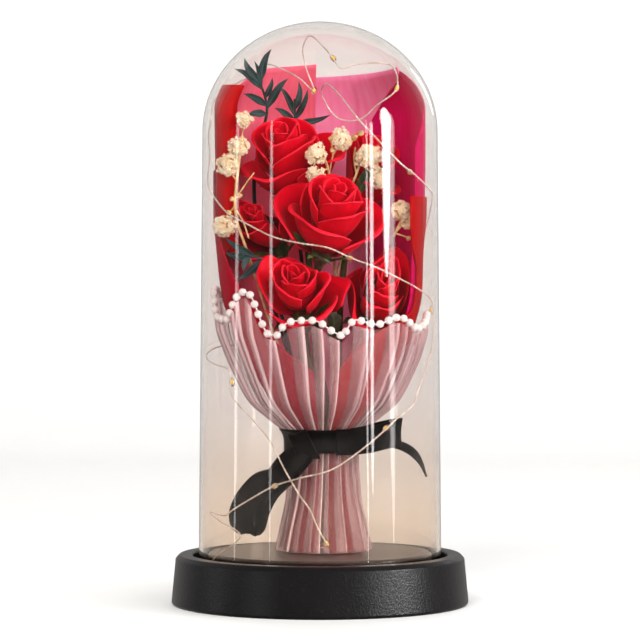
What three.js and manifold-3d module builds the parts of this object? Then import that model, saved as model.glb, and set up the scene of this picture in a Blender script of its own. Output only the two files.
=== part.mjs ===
// A tied bouquet of preserved red roses, wrapped in film paper and tulle, under a clear dome on a round base.
// Millimetres, +Z up. The origin is the centre of the base's underside, and the bouquet faces -Y.
import * as THREE from 'three';
import { mergeVertices } from 'three/addons/utils/BufferGeometryUtils.js';
import Module from 'manifold-3d';

const wasm = await Module();
wasm.setup();

// Base: a moulded disc with a flared side, a groove for the dome and a raised plinth.
const BASE_RADIUS = 57.5;
const BASE_TOP_RADIUS = 55.4;
const BASE_HEIGHT = 19.2;
const GROOVE_OUTER_RADIUS = 49.3;
const PLINTH_RADIUS = 43.4;
const PLINTH_TOP = 20.2;
const GROOVE_FLOOR = 13.2;
const COVER_RADIUS = 40;
const COVER_THICKNESS = 2;
const COVER_SETBACK = 0.5;

// Dome: a cylinder with a slight draft under a half ellipsoid.
const DOME_RIM_RADIUS = 47;
const DOME_SHOULDER_RADIUS = 45.5;
const DOME_SHOULDER = 182.4;
const DOME_TOP = 225;
const DOME_WALL = 1.3;
const DOME_SIDES = 28;

// Gap between pieces that touch in the real object.
const GAP = 0.35;

// Bouquet: it stands on the plinth a little to the right of the dome's axis, tied at the waist.
const BOUQUET_X = 1.4;
const BOUQUET_FOOT = PLINTH_TOP + GAP;
const WAIST = 63.5;
const PAPER_THICKNESS = 0.3;
const PAPER_SPACING = 0.85;
const TULLE_THICKNESS = 0.4;
const TULLE_PLEATS = 22;
const TULLE_SEAM = 0.6;
const BEAD_RADIUS = 1.5;
const BEAD_SPACING = 4.1;
const RIBBON_WIDTH = 9.2;
const RIBBON_THICKNESS = 0.6;
const WIRE_RADIUS = 0.35;
const PETAL_THICKNESS = 0.6;
const PETAL_SPREAD = 76;
const STEM_RADIUS = 1.1;

const DEGREE = Math.PI / 180;
const group = new THREE.Group();

const colours = {
  black_plastic: [0x17171a, 0.42, 0],
  glass: [0xf2f4f4, 0.03, 0],
  salmon_paper: [0xf2607a, 0.35, 0],
  pink_paper: [0xe84a80, 0.35, 0],
  magenta_paper: [0xc8104e, 0.35, 0],
  red_paper: [0xcc1020, 0.35, 0],
  crimson_paper: [0xa80f28, 0.35, 0],
  tulle: [0xf4e9e6, 0.8, 0],
  pearl: [0xf6f4f0, 0.2, 0],
  ribbon: [0x141313, 0.55, 0],
  wire: [0xcfc3ae, 0.35, 0.8],
  petal: [0xb8071a, 0.5, 0],
  stem: [0x4a5230, 0.7, 0],
  leaf: [0x46492c, 0.7, 0],
  foliage: [0x27332c, 0.65, 0],
  gypsophila: [0xead9ae, 0.85, 0],
};

// Each piece gets its own material, so a finish can be changed on one piece alone.
function addPiece(name, finish, geometry) {
  const [color, roughness, metalness] = colours[finish];
  const material = new THREE.MeshStandardMaterial({ color, roughness, metalness });
  const mesh = new THREE.Mesh(closedBody(geometry), material);
  mesh.name = name;
  group.add(mesh);
}

function signedVolume(position, index) {
  const a = new THREE.Vector3();
  const b = new THREE.Vector3();
  const c = new THREE.Vector3();
  let volume = 0;
  for (let i = 0; i < index.length; i += 3) {
    a.fromBufferAttribute(position, index[i]);
    b.fromBufferAttribute(position, index[i + 1]);
    c.fromBufferAttribute(position, index[i + 2]);
    volume += a.dot(b.cross(c)) / 6;
  }
  return volume;
}

// Shared vertices merged, slivers with two like corners dropped, and the faces turned outwards.
function closedBody(geometry) {
  const bare = new THREE.BufferGeometry();
  bare.setAttribute('position', geometry.getAttribute('position').clone());
  if (geometry.index) bare.setIndex(geometry.index.clone());
  const merged = mergeVertices(bare, 1e-3);
  const kept = [];
  const source = merged.index.array;
  for (let i = 0; i < source.length; i += 3) {
    const [a, b, c] = [source[i], source[i + 1], source[i + 2]];
    if (a !== b && b !== c && a !== c) kept.push(a, b, c);
  }
  if (signedVolume(merged.getAttribute('position'), kept) < 0) {
    for (let i = 0; i < kept.length; i += 3) [kept[i], kept[i + 1]] = [kept[i + 1], kept[i]];
  }
  merged.setIndex(kept);
  merged.computeVertexNormals();
  return merged;
}

function toManifold(geometry) {
  const body = closedBody(geometry);
  return new wasm.Manifold(new wasm.Mesh({
    numProp: 3,
    vertProperties: new Float32Array(body.getAttribute('position').array),
    triVerts: new Uint32Array(body.index.array),
  }));
}

function fuse(geometries) {
  let whole = toManifold(geometries[0]);
  for (const next of geometries.slice(1)) whole = whole.add(toManifold(next));
  const mesh = whole.getMesh();
  const fused = new THREE.BufferGeometry();
  fused.setAttribute('position', new THREE.BufferAttribute(new Float32Array(mesh.vertProperties), 3));
  fused.setIndex(new THREE.BufferAttribute(new Uint32Array(mesh.triVerts), 1));
  return fused;
}

// A round piece turned about Z from a closed outline of [radius, height] points.
function turned(outline, segments) {
  const points = outline.map(([radius, height]) => new THREE.Vector2(radius, height));
  return new THREE.LatheGeometry(points, segments).rotateX(Math.PI / 2);
}

// Smooth curve through [x, y] points with rising x. A point's slope is held flat at a peak, so that the
// curve never overshoots.
function smoothLine(points) {
  const last = points.length - 1;
  const rise = points.slice(1).map((p, i) => (p[1] - points[i][1]) / (p[0] - points[i][0]));
  const slope = points.map((p, i) => {
    if (i === 0) return rise[0];
    if (i === last) return rise[last - 1];
    return rise[i - 1] * rise[i] <= 0 ? 0 : 2 * rise[i - 1] * rise[i] / (rise[i - 1] + rise[i]);
  });
  return (x) => {
    if (x <= points[0][0]) return points[0][1];
    if (x >= points[last][0]) return points[last][1];
    let i = 0;
    while (x > points[i + 1][0]) i += 1;
    const width = points[i + 1][0] - points[i][0];
    const t = (x - points[i][0]) / width;
    const [t2, t3] = [t * t, t * t * t];
    return (2 * t3 - 3 * t2 + 1) * points[i][1] + (t3 - 2 * t2 + t) * width * slope[i]
      + (3 * t2 - 2 * t3) * points[i + 1][1] + (t3 - t2) * width * slope[i + 1];
  };
}

function mix(a, b, t) {
  return a + (b - a) * t;
}

function smoothStep(low, high, x) {
  const t = Math.min(1, Math.max(0, (x - low) / (high - low)));
  return t * t * (3 - 2 * t);
}

// A thin closed sheet on a surface: grid holds rows of [a, b], and surface(a, b) gives the sheet's middle.
// Where an edge is cut short, neighbouring grid points fall together and their faces vanish.
function sheet(surface, grid, thickness) {
  const step = 1e-3;
  const columns = grid[0].length - 1;
  const rows = grid.length - 1;
  const positions = [];
  for (const side of [0.5, -0.5]) {
    for (const [a, b] of grid.flat()) {
      const along = surface(a + step, b).sub(surface(a - step, b));
      const up = surface(a, b + step).sub(surface(a, b - step));
      const normal = along.cross(up).normalize();
      positions.push(surface(a, b).addScaledVector(normal, side * thickness));
    }
  }
  const layer = (columns + 1) * (rows + 1);
  const at = (side, i, j) => side * layer + j * (columns + 1) + i;
  const faces = [];
  for (let j = 0; j < rows; j += 1) {
    for (let i = 0; i < columns; i += 1) {
      faces.push([at(0, i, j), at(0, i + 1, j), at(0, i + 1, j + 1), at(0, i, j + 1)]);
      faces.push([at(1, i, j + 1), at(1, i + 1, j + 1), at(1, i + 1, j), at(1, i, j)]);
    }
  }
  for (let i = 0; i < columns; i += 1) {
    faces.push([at(1, i, 0), at(1, i + 1, 0), at(0, i + 1, 0), at(0, i, 0)]);
    faces.push([at(0, i, rows), at(0, i + 1, rows), at(1, i + 1, rows), at(1, i, rows)]);
  }
  for (let j = 0; j < rows; j += 1) {
    faces.push([at(0, 0, j), at(0, 0, j + 1), at(1, 0, j + 1), at(1, 0, j)]);
    faces.push([at(1, columns, j), at(1, columns, j + 1), at(0, columns, j + 1), at(0, columns, j)]);
  }
  return fromFaces(positions, faces);
}

function fromFaces(positions, faces) {
  const index = [];
  for (const face of faces) {
    for (let k = 1; k < face.length - 1; k += 1) index.push(face[0], face[k], face[k + 1]);
  }
  const geometry = new THREE.BufferGeometry();
  const coordinates = positions.flatMap((point) => [point.x, point.y, point.z]);
  geometry.setAttribute('position', new THREE.Float32BufferAttribute(coordinates, 3));
  geometry.setIndex(index);
  return geometry;
}

// A closed body through a row of rings that all have the same number of points.
function loft(rings) {
  const sides = rings[0].length;
  const faces = [];
  for (let j = 0; j < rings.length - 1; j += 1) {
    for (let i = 0; i < sides; i += 1) {
      const next = (i + 1) % sides;
      faces.push([j * sides + i, j * sides + next, (j + 1) * sides + next, (j + 1) * sides + i]);
    }
  }
  const foot = rings[0].map((_, i) => i).reverse();
  const head = rings[0].map((_, i) => (rings.length - 1) * sides + i);
  faces.push(foot, head);
  return fromFaces(rings.flat(), faces);
}

function vector([x, y, z]) {
  return new THREE.Vector3(x, y, z);
}

// Rings of a round tube along points, carried from one to the next without twist.
function tubeRings(points, radii, sides) {
  let side = new THREE.Vector3(0.31, 0.77, 0.56);
  return points.map((point, i) => {
    const before = points[Math.max(0, i - 1)];
    const after = points[Math.min(points.length - 1, i + 1)];
    const along = after.clone().sub(before).normalize();
    side = side.clone().addScaledVector(along, -side.dot(along)).normalize();
    const across = along.clone().cross(side);
    const radius = Array.isArray(radii) ? radii[i] : radii;
    return Array.from({ length: sides }, (_, k) => {
      const angle = 2 * Math.PI * k / sides;
      return point.clone().addScaledVector(side, radius * Math.cos(angle))
        .addScaledVector(across, radius * Math.sin(angle));
    });
  });
}

// A flat strip along a course of [x, y, z, direction] places, its width turned to each place's direction.
function strip(course, width, thickness) {
  const places = course.map(([x, y, z]) => vector([x, y, z]));
  const rings = places.map((point, i) => {
    const before = places[Math.max(0, i - 1)];
    const after = places[Math.min(places.length - 1, i + 1)];
    const along = after.clone().sub(before).normalize();
    const direction = course[i][3];
    const across = direction.clone().addScaledVector(along, -direction.dot(along)).normalize();
    const face = along.clone().cross(across);
    const corner = (a, b) => point.clone().addScaledVector(across, a * width / 2)
      .addScaledVector(face, b * thickness / 2);
    return [corner(-1, -1), corner(1, -1), corner(1, 1), corner(-1, 1)];
  });
  return loft(rings);
}

// Point at an angle round the bouquet: 0 faces the front, 90 the right, 180 the back.
function around(radius, angle, height, centreX = 0) {
  const turn = angle * DEGREE;
  return new THREE.Vector3(centreX + radius * Math.sin(turn), -radius * Math.cos(turn), height);
}

// Inner radius of the dome at a height.
function domeInside(height) {
  if (height <= DOME_SHOULDER) {
    const down = (DOME_SHOULDER - height) / (DOME_SHOULDER - GROOVE_FLOOR);
    return mix(DOME_SHOULDER_RADIUS, DOME_RIM_RADIUS, down) - DOME_WALL;
  }
  const rise = (height - DOME_SHOULDER) / (DOME_TOP - DOME_WALL - DOME_SHOULDER);
  return (DOME_SHOULDER_RADIUS - DOME_WALL) * Math.sqrt(Math.max(0, 1 - rise * rise));
}

function makeBase() {
  const edge = 1;
  const recess = COVER_THICKNESS + COVER_SETBACK + GAP;
  addPiece('base', 'black_plastic', turned([
    [0, recess],
    [COVER_RADIUS + GAP, recess],
    [COVER_RADIUS + GAP, 0],
    [BASE_RADIUS - 0.6, 0],
    [BASE_RADIUS, 0.9],
    [BASE_TOP_RADIUS + 0.5, BASE_HEIGHT - 1.6],
    [BASE_TOP_RADIUS - edge, BASE_HEIGHT],
    [GROOVE_OUTER_RADIUS + 0.4, BASE_HEIGHT],
    [GROOVE_OUTER_RADIUS, BASE_HEIGHT - 0.5],
    [GROOVE_OUTER_RADIUS, GROOVE_FLOOR],
    [PLINTH_RADIUS, GROOVE_FLOOR],
    [PLINTH_RADIUS, PLINTH_TOP - edge],
    [PLINTH_RADIUS - edge, PLINTH_TOP],
    [0, PLINTH_TOP],
  ], 28));
  addPiece('base_cover', 'black_plastic', turned([
    [0, COVER_SETBACK],
    [COVER_RADIUS - 0.6, COVER_SETBACK],
    [COVER_RADIUS, COVER_SETBACK + 0.6],
    [COVER_RADIUS, COVER_SETBACK + COVER_THICKNESS],
    [0, COVER_SETBACK + COVER_THICKNESS],
  ], 20));
}

function makeDome() {
  const capSteps = 6;
  const cap = (radius, top) => Array.from({ length: capSteps + 1 }, (_, i) => {
    const angle = i / capSteps * Math.PI / 2;
    return [radius * Math.sin(angle), DOME_SHOULDER + (top - DOME_SHOULDER) * Math.cos(angle)];
  });
  const rim = GROOVE_FLOOR + GAP;
  const outside = cap(DOME_SHOULDER_RADIUS, DOME_TOP);
  const inside = cap(DOME_SHOULDER_RADIUS - DOME_WALL, DOME_TOP - DOME_WALL).reverse();
  addPiece('glass_dome', 'glass', turned([
    ...outside,
    [DOME_RIM_RADIUS, rim],
    [DOME_RIM_RADIUS - DOME_WALL, rim],
    ...inside,
  ], DOME_SIDES));
}

// Outermost paper layer: radius at each height, a skirt below the waist and a cup above it.
const paperOutline = smoothLine([
  [20, 15.4], [40, 12.2], [56, 10.8], [WAIST, 10.6], [71, 17], [79, 24.5], [88, 30], [98, 34], [108, 36.6],
  [120, 39.6], [137, 41.2], [150, 42.3], [DOME_SHOULDER, 42.7],
]);

// The sheets shift on to the dome's axis where they press against its wall.
function paperCentre(height) {
  return BOUQUET_X * (1 - smoothStep(90, 140, height));
}

function outerPaperRadius(height) {
  return Math.min(paperOutline(height) - 1.2 * smoothStep(90, 140, height), domeInside(height) - 1.3);
}

// Radius of a layer that lies a steady distance inside the outermost one, measured square to the paper.
function paperRadius(height, layer) {
  const slope = (outerPaperRadius(height + 0.5) - outerPaperRadius(height - 0.5));
  return outerPaperRadius(height) - layer * PAPER_SPACING * Math.hypot(1, slope);
}

// Creases that all sheets share, so that their flat facets stay parallel from layer to layer.
const CREASE_HEIGHTS = [BOUQUET_FOOT, 42, WAIST, 71, 80, 92, 108, 127, 155, 184, 196, 212];
const CREASE_ANGLE = 20;
const ROLL_ANGLE = 279;

// Point of a paper layer, taken on the flat facet between four crease corners.
function paperPoint(angle, height, layer) {
  const column = Math.floor(angle / CREASE_ANGLE);
  const across = angle / CREASE_ANGLE - column;
  let row = 0;
  while (row < CREASE_HEIGHTS.length - 2 && height > CREASE_HEIGHTS[row + 1]) row += 1;
  const [low, high] = [CREASE_HEIGHTS[row], CREASE_HEIGHTS[row + 1]];
  const up = (height - low) / (high - low);
  const corner = (c, h) => around(paperRadius(h, layer), c * CREASE_ANGLE, h, paperCentre(h));
  const foot = corner(column, low).lerp(corner(column + 1, low), across);
  const head = corner(column, high).lerp(corner(column + 1, high), across);
  return foot.lerp(head, up);
}

// One wrapping sheet: it runs from the skirt's foot to its top edge, between two side edges that are given as
// [height, angle] lines. The top edge is an [angle, height] line, and the layer counts inwards.
function paperSheet(layer, leftEdge, rightEdge, topEdge) {
  const left = smoothLine(leftEdge);
  const right = smoothLine(rightEdge);
  const top = smoothLine(topEdge);
  const lowest = Math.min(...leftEdge.map((point) => point[1]));
  const highest = Math.max(...rightEdge.map((point) => point[1]));
  const angles = [lowest];
  const firstCrease = Math.ceil((lowest + 3) / CREASE_ANGLE) * CREASE_ANGLE;
  for (let angle = firstCrease; angle < highest - 3; angle += CREASE_ANGLE) angles.push(angle);
  angles.push(highest);
  const peak = Math.max(...angles.map(top));
  const heights = CREASE_HEIGHTS.filter((height) => height < peak);
  heights.push(peak);
  const grid = heights.map((crease) => angles.map((angle) => {
    const height = Math.min(crease, top(angle));
    return [Math.min(Math.max(angle, left(height)), right(height)), height];
  }));
  return sheet((angle, height) => paperPoint(angle, height, layer), grid, PAPER_THICKNESS);
}

function makePapers() {
  const straight = (angle) => [[BOUQUET_FOOT, angle], [DOME_SHOULDER, angle]];
  addPiece('paper_back_left', 'salmon_paper', paperSheet(3, straight(176), straight(252),
    [[176, 211], [228, 208.6], [252, 200]]));
  addPiece('paper_back_right', 'pink_paper', paperSheet(2,
    [[BOUQUET_FOOT, 92], [160, 92], [188, 112], [207, 98]], straight(206), [[92, 207], [206, 205.5]]));
  addPiece('paper_side_right', 'magenta_paper', paperSheet(1, straight(62), straight(155),
    [[62, 176], [105, 203], [155, 190]]));
  addPiece('paper_front_right', 'red_paper', paperSheet(0, straight(8), straight(105),
    [[8, 87], [20, 100], [45, 112], [60, 157], [105, 157]]));
  addPiece('paper_front_left', 'crimson_paper', paperSheet(0, straight(252), straight(352),
    [[252, 169], [270, 167], [283, 150], [292, 138], [300, 130], [315, 116], [330, 100], [352, 90]]));
  addPiece('paper_roll_left', 'red_paper', fuse([
    paperSheet(1, straight(232), straight(ROLL_ANGLE), [[232, 202], [ROLL_ANGLE, 200]]),
    rolledEdge(),
  ]));
}

// The front edge of the left sheet is curled inwards as an open roll.
function rolledEdge() {
  const rollRadius = 4.2;
  const turns = [-14, 40, 95, 150, 205, 260];
  const heights = [138, 155, 184, 196, 199];
  const inward = around(1, ROLL_ANGLE, 0).negate();
  const forward = around(1, ROLL_ANGLE + 90, 0);
  const surface = (turn, height) => paperPoint(ROLL_ANGLE, height, 1)
    .addScaledVector(inward, rollRadius * (1 - Math.cos(turn * DEGREE)) + 0.1)
    .addScaledVector(forward, rollRadius * Math.sin(turn * DEGREE));
  return sheet(surface, heights.map((height) => turns.map((turn) => [turn, height])), PAPER_THICKNESS);
}

// Tulle: one net sheet round the papers, gathered by the ribbon, with its free edges meeting at the back.
const tulleOutline = smoothLine([
  [20, 18.6], [30, 16.5], [45, 13.8], [58, 13.2], [64, 13.2], [71, 20.5], [78, 28.3], [88, 33.8], [98, 38],
  [106, 40.4], [122, 41.4],
]);
const tulleEdge = smoothLine([
  [-180, 113], [-150, 117], [-120, 112], [-95, 120], [-80, 109], [-62, 108], [-43, 118.7], [-32, 103],
  [-25, 102.3], [-16, 107.5], [-5, 107.9], [4, 104], [13, 101.5], [17, 108], [30, 106.3], [45, 108.9],
  [62, 104.6], [73, 106], [88, 109.7], [102, 97], [125, 112], [150, 108], [180, 113],
]);

function tullePoint(angle, height) {
  const shift = BOUQUET_X * (1 - smoothStep(90, 125, height));
  return around(tulleOutline(height), angle, height, shift);
}

function tulleAngle(column) {
  return mix(-180 + TULLE_SEAM, 180 - TULLE_SEAM, column / (2 * TULLE_PLEATS));
}

// Height of the tulle's upper edge, which runs straight from fold to fold.
function tulleTop(angle) {
  const column = (angle + 180 - TULLE_SEAM) / (360 - 2 * TULLE_SEAM) * 2 * TULLE_PLEATS;
  const fold = Math.min(2 * TULLE_PLEATS - 1, Math.max(0, Math.floor(column)));
  return mix(tulleEdge(tulleAngle(fold)), tulleEdge(tulleAngle(fold + 1)), column - fold);
}

function makeTulle() {
  const columns = 2 * TULLE_PLEATS;
  const heights = [BOUQUET_FOOT + 0.3, 58.5, 64.5, 71, 80];
  const pleat = (height) => mix(0.9, 0.5, smoothStep(40, 56, height) - smoothStep(66, 80, height));
  const folds = Array.from({ length: columns + 1 }, (_, i) => i);
  const grid = [...heights, null].map((height) => folds.map((i) => [i, height ?? tulleEdge(tulleAngle(i))]));
  const surface = (i, height) => {
    const column = Math.min(columns - 1e-6, Math.max(0, i));
    const wave = 1 - 2 * Math.abs(column % 2 - 1);
    const angle = tulleAngle(column);
    return tullePoint(angle, height).add(around(wave * pleat(height), angle, 0));
  };
  addPiece('tulle_wrap', 'tulle', sheet(surface, grid, TULLE_THICKNESS));
}

// Pearls: beads on one thread that stands on the tulle's upper edge all round.
function pearlPath() {
  const clearance = 2.1;
  const steps = 120;
  const edge = Array.from({ length: steps }, (_, i) => {
    const angle = mix(-180, 180, i / steps);
    return tullePoint(angle, tulleTop(angle));
  });
  const lifted = edge.map((point, i) => {
    const before = edge[(i + steps - 1) % steps];
    const after = edge[(i + 1) % steps];
    const along = after.clone().sub(before).normalize();
    const outward = new THREE.Vector3(point.x, point.y, 0).normalize();
    const up = outward.cross(along).normalize();
    if (up.z < 0) up.negate();
    const moved = point.clone().addScaledVector(up, clearance);
    const limit = domeInside(moved.z) - BEAD_RADIUS - 1.3;
    const radius = Math.hypot(moved.x, moved.y);
    if (radius > limit) moved.multiply(new THREE.Vector3(limit / radius, limit / radius, 1));
    return moved;
  });
  return new THREE.CatmullRomCurve3(lifted, true, 'centripetal');
}

function makePearls() {
  const path = pearlPath();
  const beads = Math.round(path.getLength() / BEAD_SPACING);
  const threadRadius = 0.4;
  const points = path.getSpacedPoints(2 * beads).slice(0, 2 * beads);
  const radii = points.map((_, i) => (i % 2 ? BEAD_RADIUS : threadRadius));
  addPiece('pearl_string', 'pearl', loft(tubeRings(points.slice(0, -1), radii.slice(0, -1), 4)));
}

// Ribbon: a band round the waist, a knot at its front left, a hanging loop on the left, and on the right a
// loop with a narrow tail.
function makeRibbon() {
  const inner = [[14.8, 58.6], [15, 64], [19.6, 68]];
  const outer = inner.map(([radius, height]) => [radius + RIBBON_THICKNESS, height]).reverse();
  const band = turned([...inner, ...outer, inner[0]], 16).translate(BOUQUET_X, 0, 0);
  const knot = new THREE.SphereGeometry(1, 7, 4).scale(5.6, 3, 4.6).rotateY(0.5).translate(-6, -16.8, 61.5);
  const slant = new THREE.Vector3(-0.65, 0, 0.75);
  const level = new THREE.Vector3(-1, 0, 0.1);
  const leftLoop = strip([
    [-5, -18.4, 60.5, slant], [-12.5, -20.4, 54.8, slant], [-20, -21.2, 50, slant],
    [-26.3, -21.6, 44.6, slant], [-29.4, -21.8, 38, level], [-29, -21.4, 32, level],
    [-27.4, -20.2, 28.4, level], [-25.4, -18.8, 30.6, level], [-24, -18.2, 37, level],
    [-20, -18.2, 45, slant], [-12, -18.2, 53, slant], [-6, -17.8, 60, slant],
  ], RIBBON_WIDTH, RIBBON_THICKNESS);
  const upright = new THREE.Vector3(0.1, 0, 1);
  const rightLoop = strip([
    [6, -17.9, 63.3, upright], [14, -17.9, 63.8, upright], [22, -17.4, 65.6, upright],
    [28.6, -15.8, 67.2, upright], [30.8, -14, 67.6, upright], [29, -12.6, 67.2, upright],
    [23.4, -12.6, 66, upright], [17.6, -14.6, 64.4, upright], [12, -17.2, 63.6, upright],
  ], RIBBON_WIDTH, RIBBON_THICKNESS);
  const edgeOn = new THREE.Vector3(0.6, 0, 0.8);
  const rightTail = strip([
    [17.4, -15, 63.4, edgeOn], [23, -12.8, 63, edgeOn], [30, -12, 62, edgeOn],
    [35, -11, 59.4, edgeOn], [38.4, -9, 55.2, edgeOn], [40.8, -7.4, 49.6, edgeOn],
  ], 3.4, RIBBON_THICKNESS);
  addPiece('ribbon', 'ribbon', fuse([band, knot, leftLoop, rightLoop, rightTail]));
}

// Light wire: one thin wire that comes out of the groove at the left, lies against the glass nearly all the
// way, dips into the bouquet's top, and ends at the front. A drop of clear resin holds each light.
const LIGHT_RADIUS = 1;
const LIGHT_LENGTH = 3.4;

function wireLimit(height) {
  return domeInside(height) * Math.cos(Math.PI / DOME_SIDES) - WIRE_RADIUS - 0.2;
}

// [angle, height, inset from the glass, light] along the wall
function wall(angle, height, inset = 0, light = false) {
  return { point: around(wireLimit(height) - inset, angle, height), angle, height, inset, light };
}

function inside(x, y, z, light = false) {
  return { point: vector([x, y, z]), light };
}

function wireStops() {
  return [
    wall(-74, 15.4, 0.4), wall(-60, 20.6, 0.4), wall(-42, 29.1, 0.4), wall(-58, 34, 0.2), wall(-66.5, 36.7),
    wall(-52, 36.2), wall(-47, 38.4), wall(-22.5, 48.2, 0, true), wall(-10, 51.3), wall(5, 54.4),
    wall(20, 61.7), wall(34, 69.6, 0, true), wall(40.5, 73.3), wall(51.4, 77.9), wall(56, 83.5),
    wall(72, 98), wall(90, 113.6, 0, true), wall(68, 118.7), wall(44, 125.1), wall(29, 129.6),
    wall(15, 133.3, 0, true), wall(4, 137), wall(-10, 138.8), wall(-23, 141.1), wall(-37, 145.7),
    wall(-52, 150.4, 0, true), wall(-59, 153.6), wall(-90, 167.8), wall(-96, 174), wall(-90, 179.4),
    wall(-72, 187), wall(-90, 195, 0.3), wall(-118, 203, 0.3), wall(-132, 207.5, 0.3),
    inside(-22, 19.5, 210.6), inside(-15, 13, 208), inside(-8, 9.5, 204), inside(-2.4, 8, 199, true),
    inside(-5.5, 6.5, 208), inside(-6.6, 5, 216), inside(-4, 1.5, 220), inside(1, -3, 215.5),
    inside(5, -6, 210.5, true), inside(7.9, -8, 206.5), inside(16, -4, 208.6), inside(28.4, 3, 208),
    inside(29.8, 2, 199.5, true), inside(22, 3, 193), inside(15.4, 4, 187.6), inside(7, 3, 188),
    inside(1, 0, 196), inside(2, -14, 200), inside(7, -30, 195), wall(17.5, 186.5),
    wall(27, 179.2), wall(44.6, 168.4), wall(51.5, 165.9, 0, true), wall(69, 160.2), wall(90, 156),
    wall(112, 140), wall(135, 120), wall(165, 106), wall(200, 100), wall(245, 99), wall(285, 95),
    wall(310, 91), wall(311, 86.6, 0, true), wall(312, 81.7), wall(326, 72.6), wall(334.8, 65.3, 0.5),
    wall(342.7, 54.2, 0.95), wall(350, 45, 0.95), wall(355.2, 39.5, 0.5), wall(359, 32.8),
    wall(363, 27.2, 0, true),
  ];
}

// The wire's line: stops on the wall are joined round the glass, the others in a straight run.
function wireLine() {
  const stepAngle = 22;
  const stops = wireStops();
  const points = [];
  stops.forEach((stop, i) => {
    const next = stops[i + 1];
    const previous = stops[i - 1];
    if (stop.light) {
      const along = (next ?? stop).point.clone().sub((previous ?? stop).point).normalize();
      for (const part of [-0.5, -0.2, 0.2, 0.5]) {
        const radius = Math.abs(part) < 0.3 ? LIGHT_RADIUS : WIRE_RADIUS;
        const point = stop.point.clone().addScaledVector(along, part * LIGHT_LENGTH);
        const limit = wireLimit(point.z) + WIRE_RADIUS - radius;
        const reach = Math.hypot(point.x, point.y);
        if (reach > limit) point.multiply(new THREE.Vector3(limit / reach, limit / reach, 1));
        points.push([point, radius]);
      }
    } else {
      points.push([stop.point, WIRE_RADIUS]);
    }
    if (next && stop.angle !== undefined && next.angle !== undefined) {
      const turn = ((next.angle - stop.angle + 540) % 360) - 180;
      const steps = Math.ceil(Math.abs(turn) / stepAngle);
      for (let k = 1; k < steps; k += 1) {
        const t = k / steps;
        const height = mix(stop.height, next.height, t);
        const inset = mix(stop.inset, next.inset, t);
        points.push([wall(stop.angle + turn * t, height, inset).point, WIRE_RADIUS]);
      }
    }
  });
  return points;
}

function makeLightWire() {
  const line = wireLine();
  const points = line.map(([point]) => point);
  const radii = line.map(([, radius]) => radius);
  addPiece('light_wire', 'wire', loft(tubeRings(points, radii, 3)));
}

// Roses, the foremost first: where each sits, which way it faces, its radius, how many outer petals it has,
// how far its first petal is turned, and which place its stem takes in the ring of stems at the tie.
const ROSES = [
  { name: 'rose_centre', at: [3.9, -14, 148], faces: [0.2, -0.6, 0.78],
    radius: 19.4, petals: 5, turn: 30, slot: 0 },
  { name: 'rose_lower_left', at: [-8.3, -18, 120], faces: [-0.1, -0.8, 0.6],
    radius: 18.6, petals: 4, turn: 100, slot: 12 },
  { name: 'rose_lower_right', at: [23, -7, 119], faces: [0.2, -0.84, 0.55],
    radius: 20.4, petals: 4, turn: 0, slot: 3 },
  { name: 'rose_upper_left', at: [-12, 5, 171], faces: [-0.22, -0.58, 0.78],
    radius: 19.6, petals: 4, turn: 60, slot: 7 },
  { name: 'rose_far_left', at: [-20.5, 2, 145.6], faces: [-0.36, -0.7, 0.62],
    radius: 16, petals: 3, turn: 20, slot: 9 },
  { name: 'rose_back_right', at: [17.4, 11, 168], faces: [0.25, -0.5, 0.83],
    radius: 16.6, petals: 3, turn: 80, slot: 5 },
];
const STEM_SLOTS = 13;
const STEM_RING = 5.6;
const ROSE_STEM_FOOT = 24;
const COLLAR_HEIGHT = 76;
const COLLAR_RADIUS = 8.4;

function stemSlot(slot, height, radius = STEM_RING) {
  return around(radius, slot * 360 / STEM_SLOTS, height, BOUQUET_X);
}

// A rose's own frame: z along its face, and x towards the side that hangs lowest.
function roseFrame(rose) {
  const axis = vector(rose.faces).normalize();
  const down = new THREE.Vector3(0, 0, -1).addScaledVector(axis, axis.z).normalize();
  const side = axis.clone().cross(down);
  return new THREE.Matrix4().makeBasis(down, side, axis).setPosition(vector(rose.at));
}

// Smooth crowding: a depth past the margin's start is pressed into the margin, and "excess" is how far the
// deepest point would reach beyond it.
function pressed(depth, margin, excess) {
  return depth / (1 + excess * depth / (margin * (margin + excess)));
}

// Roses crowd one another and the paper: each gives way to those before it in the list, and to the wrapping.
function crowded(point, rose) {
  const margin = 10;
  const moved = point.clone();
  for (const other of ROSES.slice(0, ROSES.indexOf(rose))) {
    const centre = vector(other.at);
    const keep = 1.1 * other.radius + 0.5;
    const excess = keep + 1.1 * rose.radius - centre.distanceTo(vector(rose.at));
    const away = moved.clone().sub(centre);
    const depth = keep + margin - away.length();
    if (excess > 0 && depth > 0) {
      moved.copy(centre).addScaledVector(away.normalize(), keep + margin - pressed(depth, margin, excess));
    }
  }
  const wallMargin = 12;
  const centreX = paperCentre(moved.z);
  const out = new THREE.Vector3(moved.x - centreX, moved.y, 0);
  const angle = Math.abs(Math.atan2(out.x, -out.y) / DEGREE);
  const clearance = mix(1.5, 3.6, smoothStep(84, 104, angle));
  const room = outerPaperRadius(moved.z) * Math.cos(CREASE_ANGLE / 2 * DEGREE) - clearance;
  const reach = Math.hypot(rose.at[0], rose.at[1]) + 1.1 * rose.radius;
  const depth = out.length() - (room - wallMargin);
  if (depth > 0) {
    const radius = room - wallMargin + pressed(depth, wallMargin, Math.max(1, reach - room + 1));
    moved.set(centreX, 0, moved.z).addScaledVector(out.normalize(), radius);
  }
  return moved;
}

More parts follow.
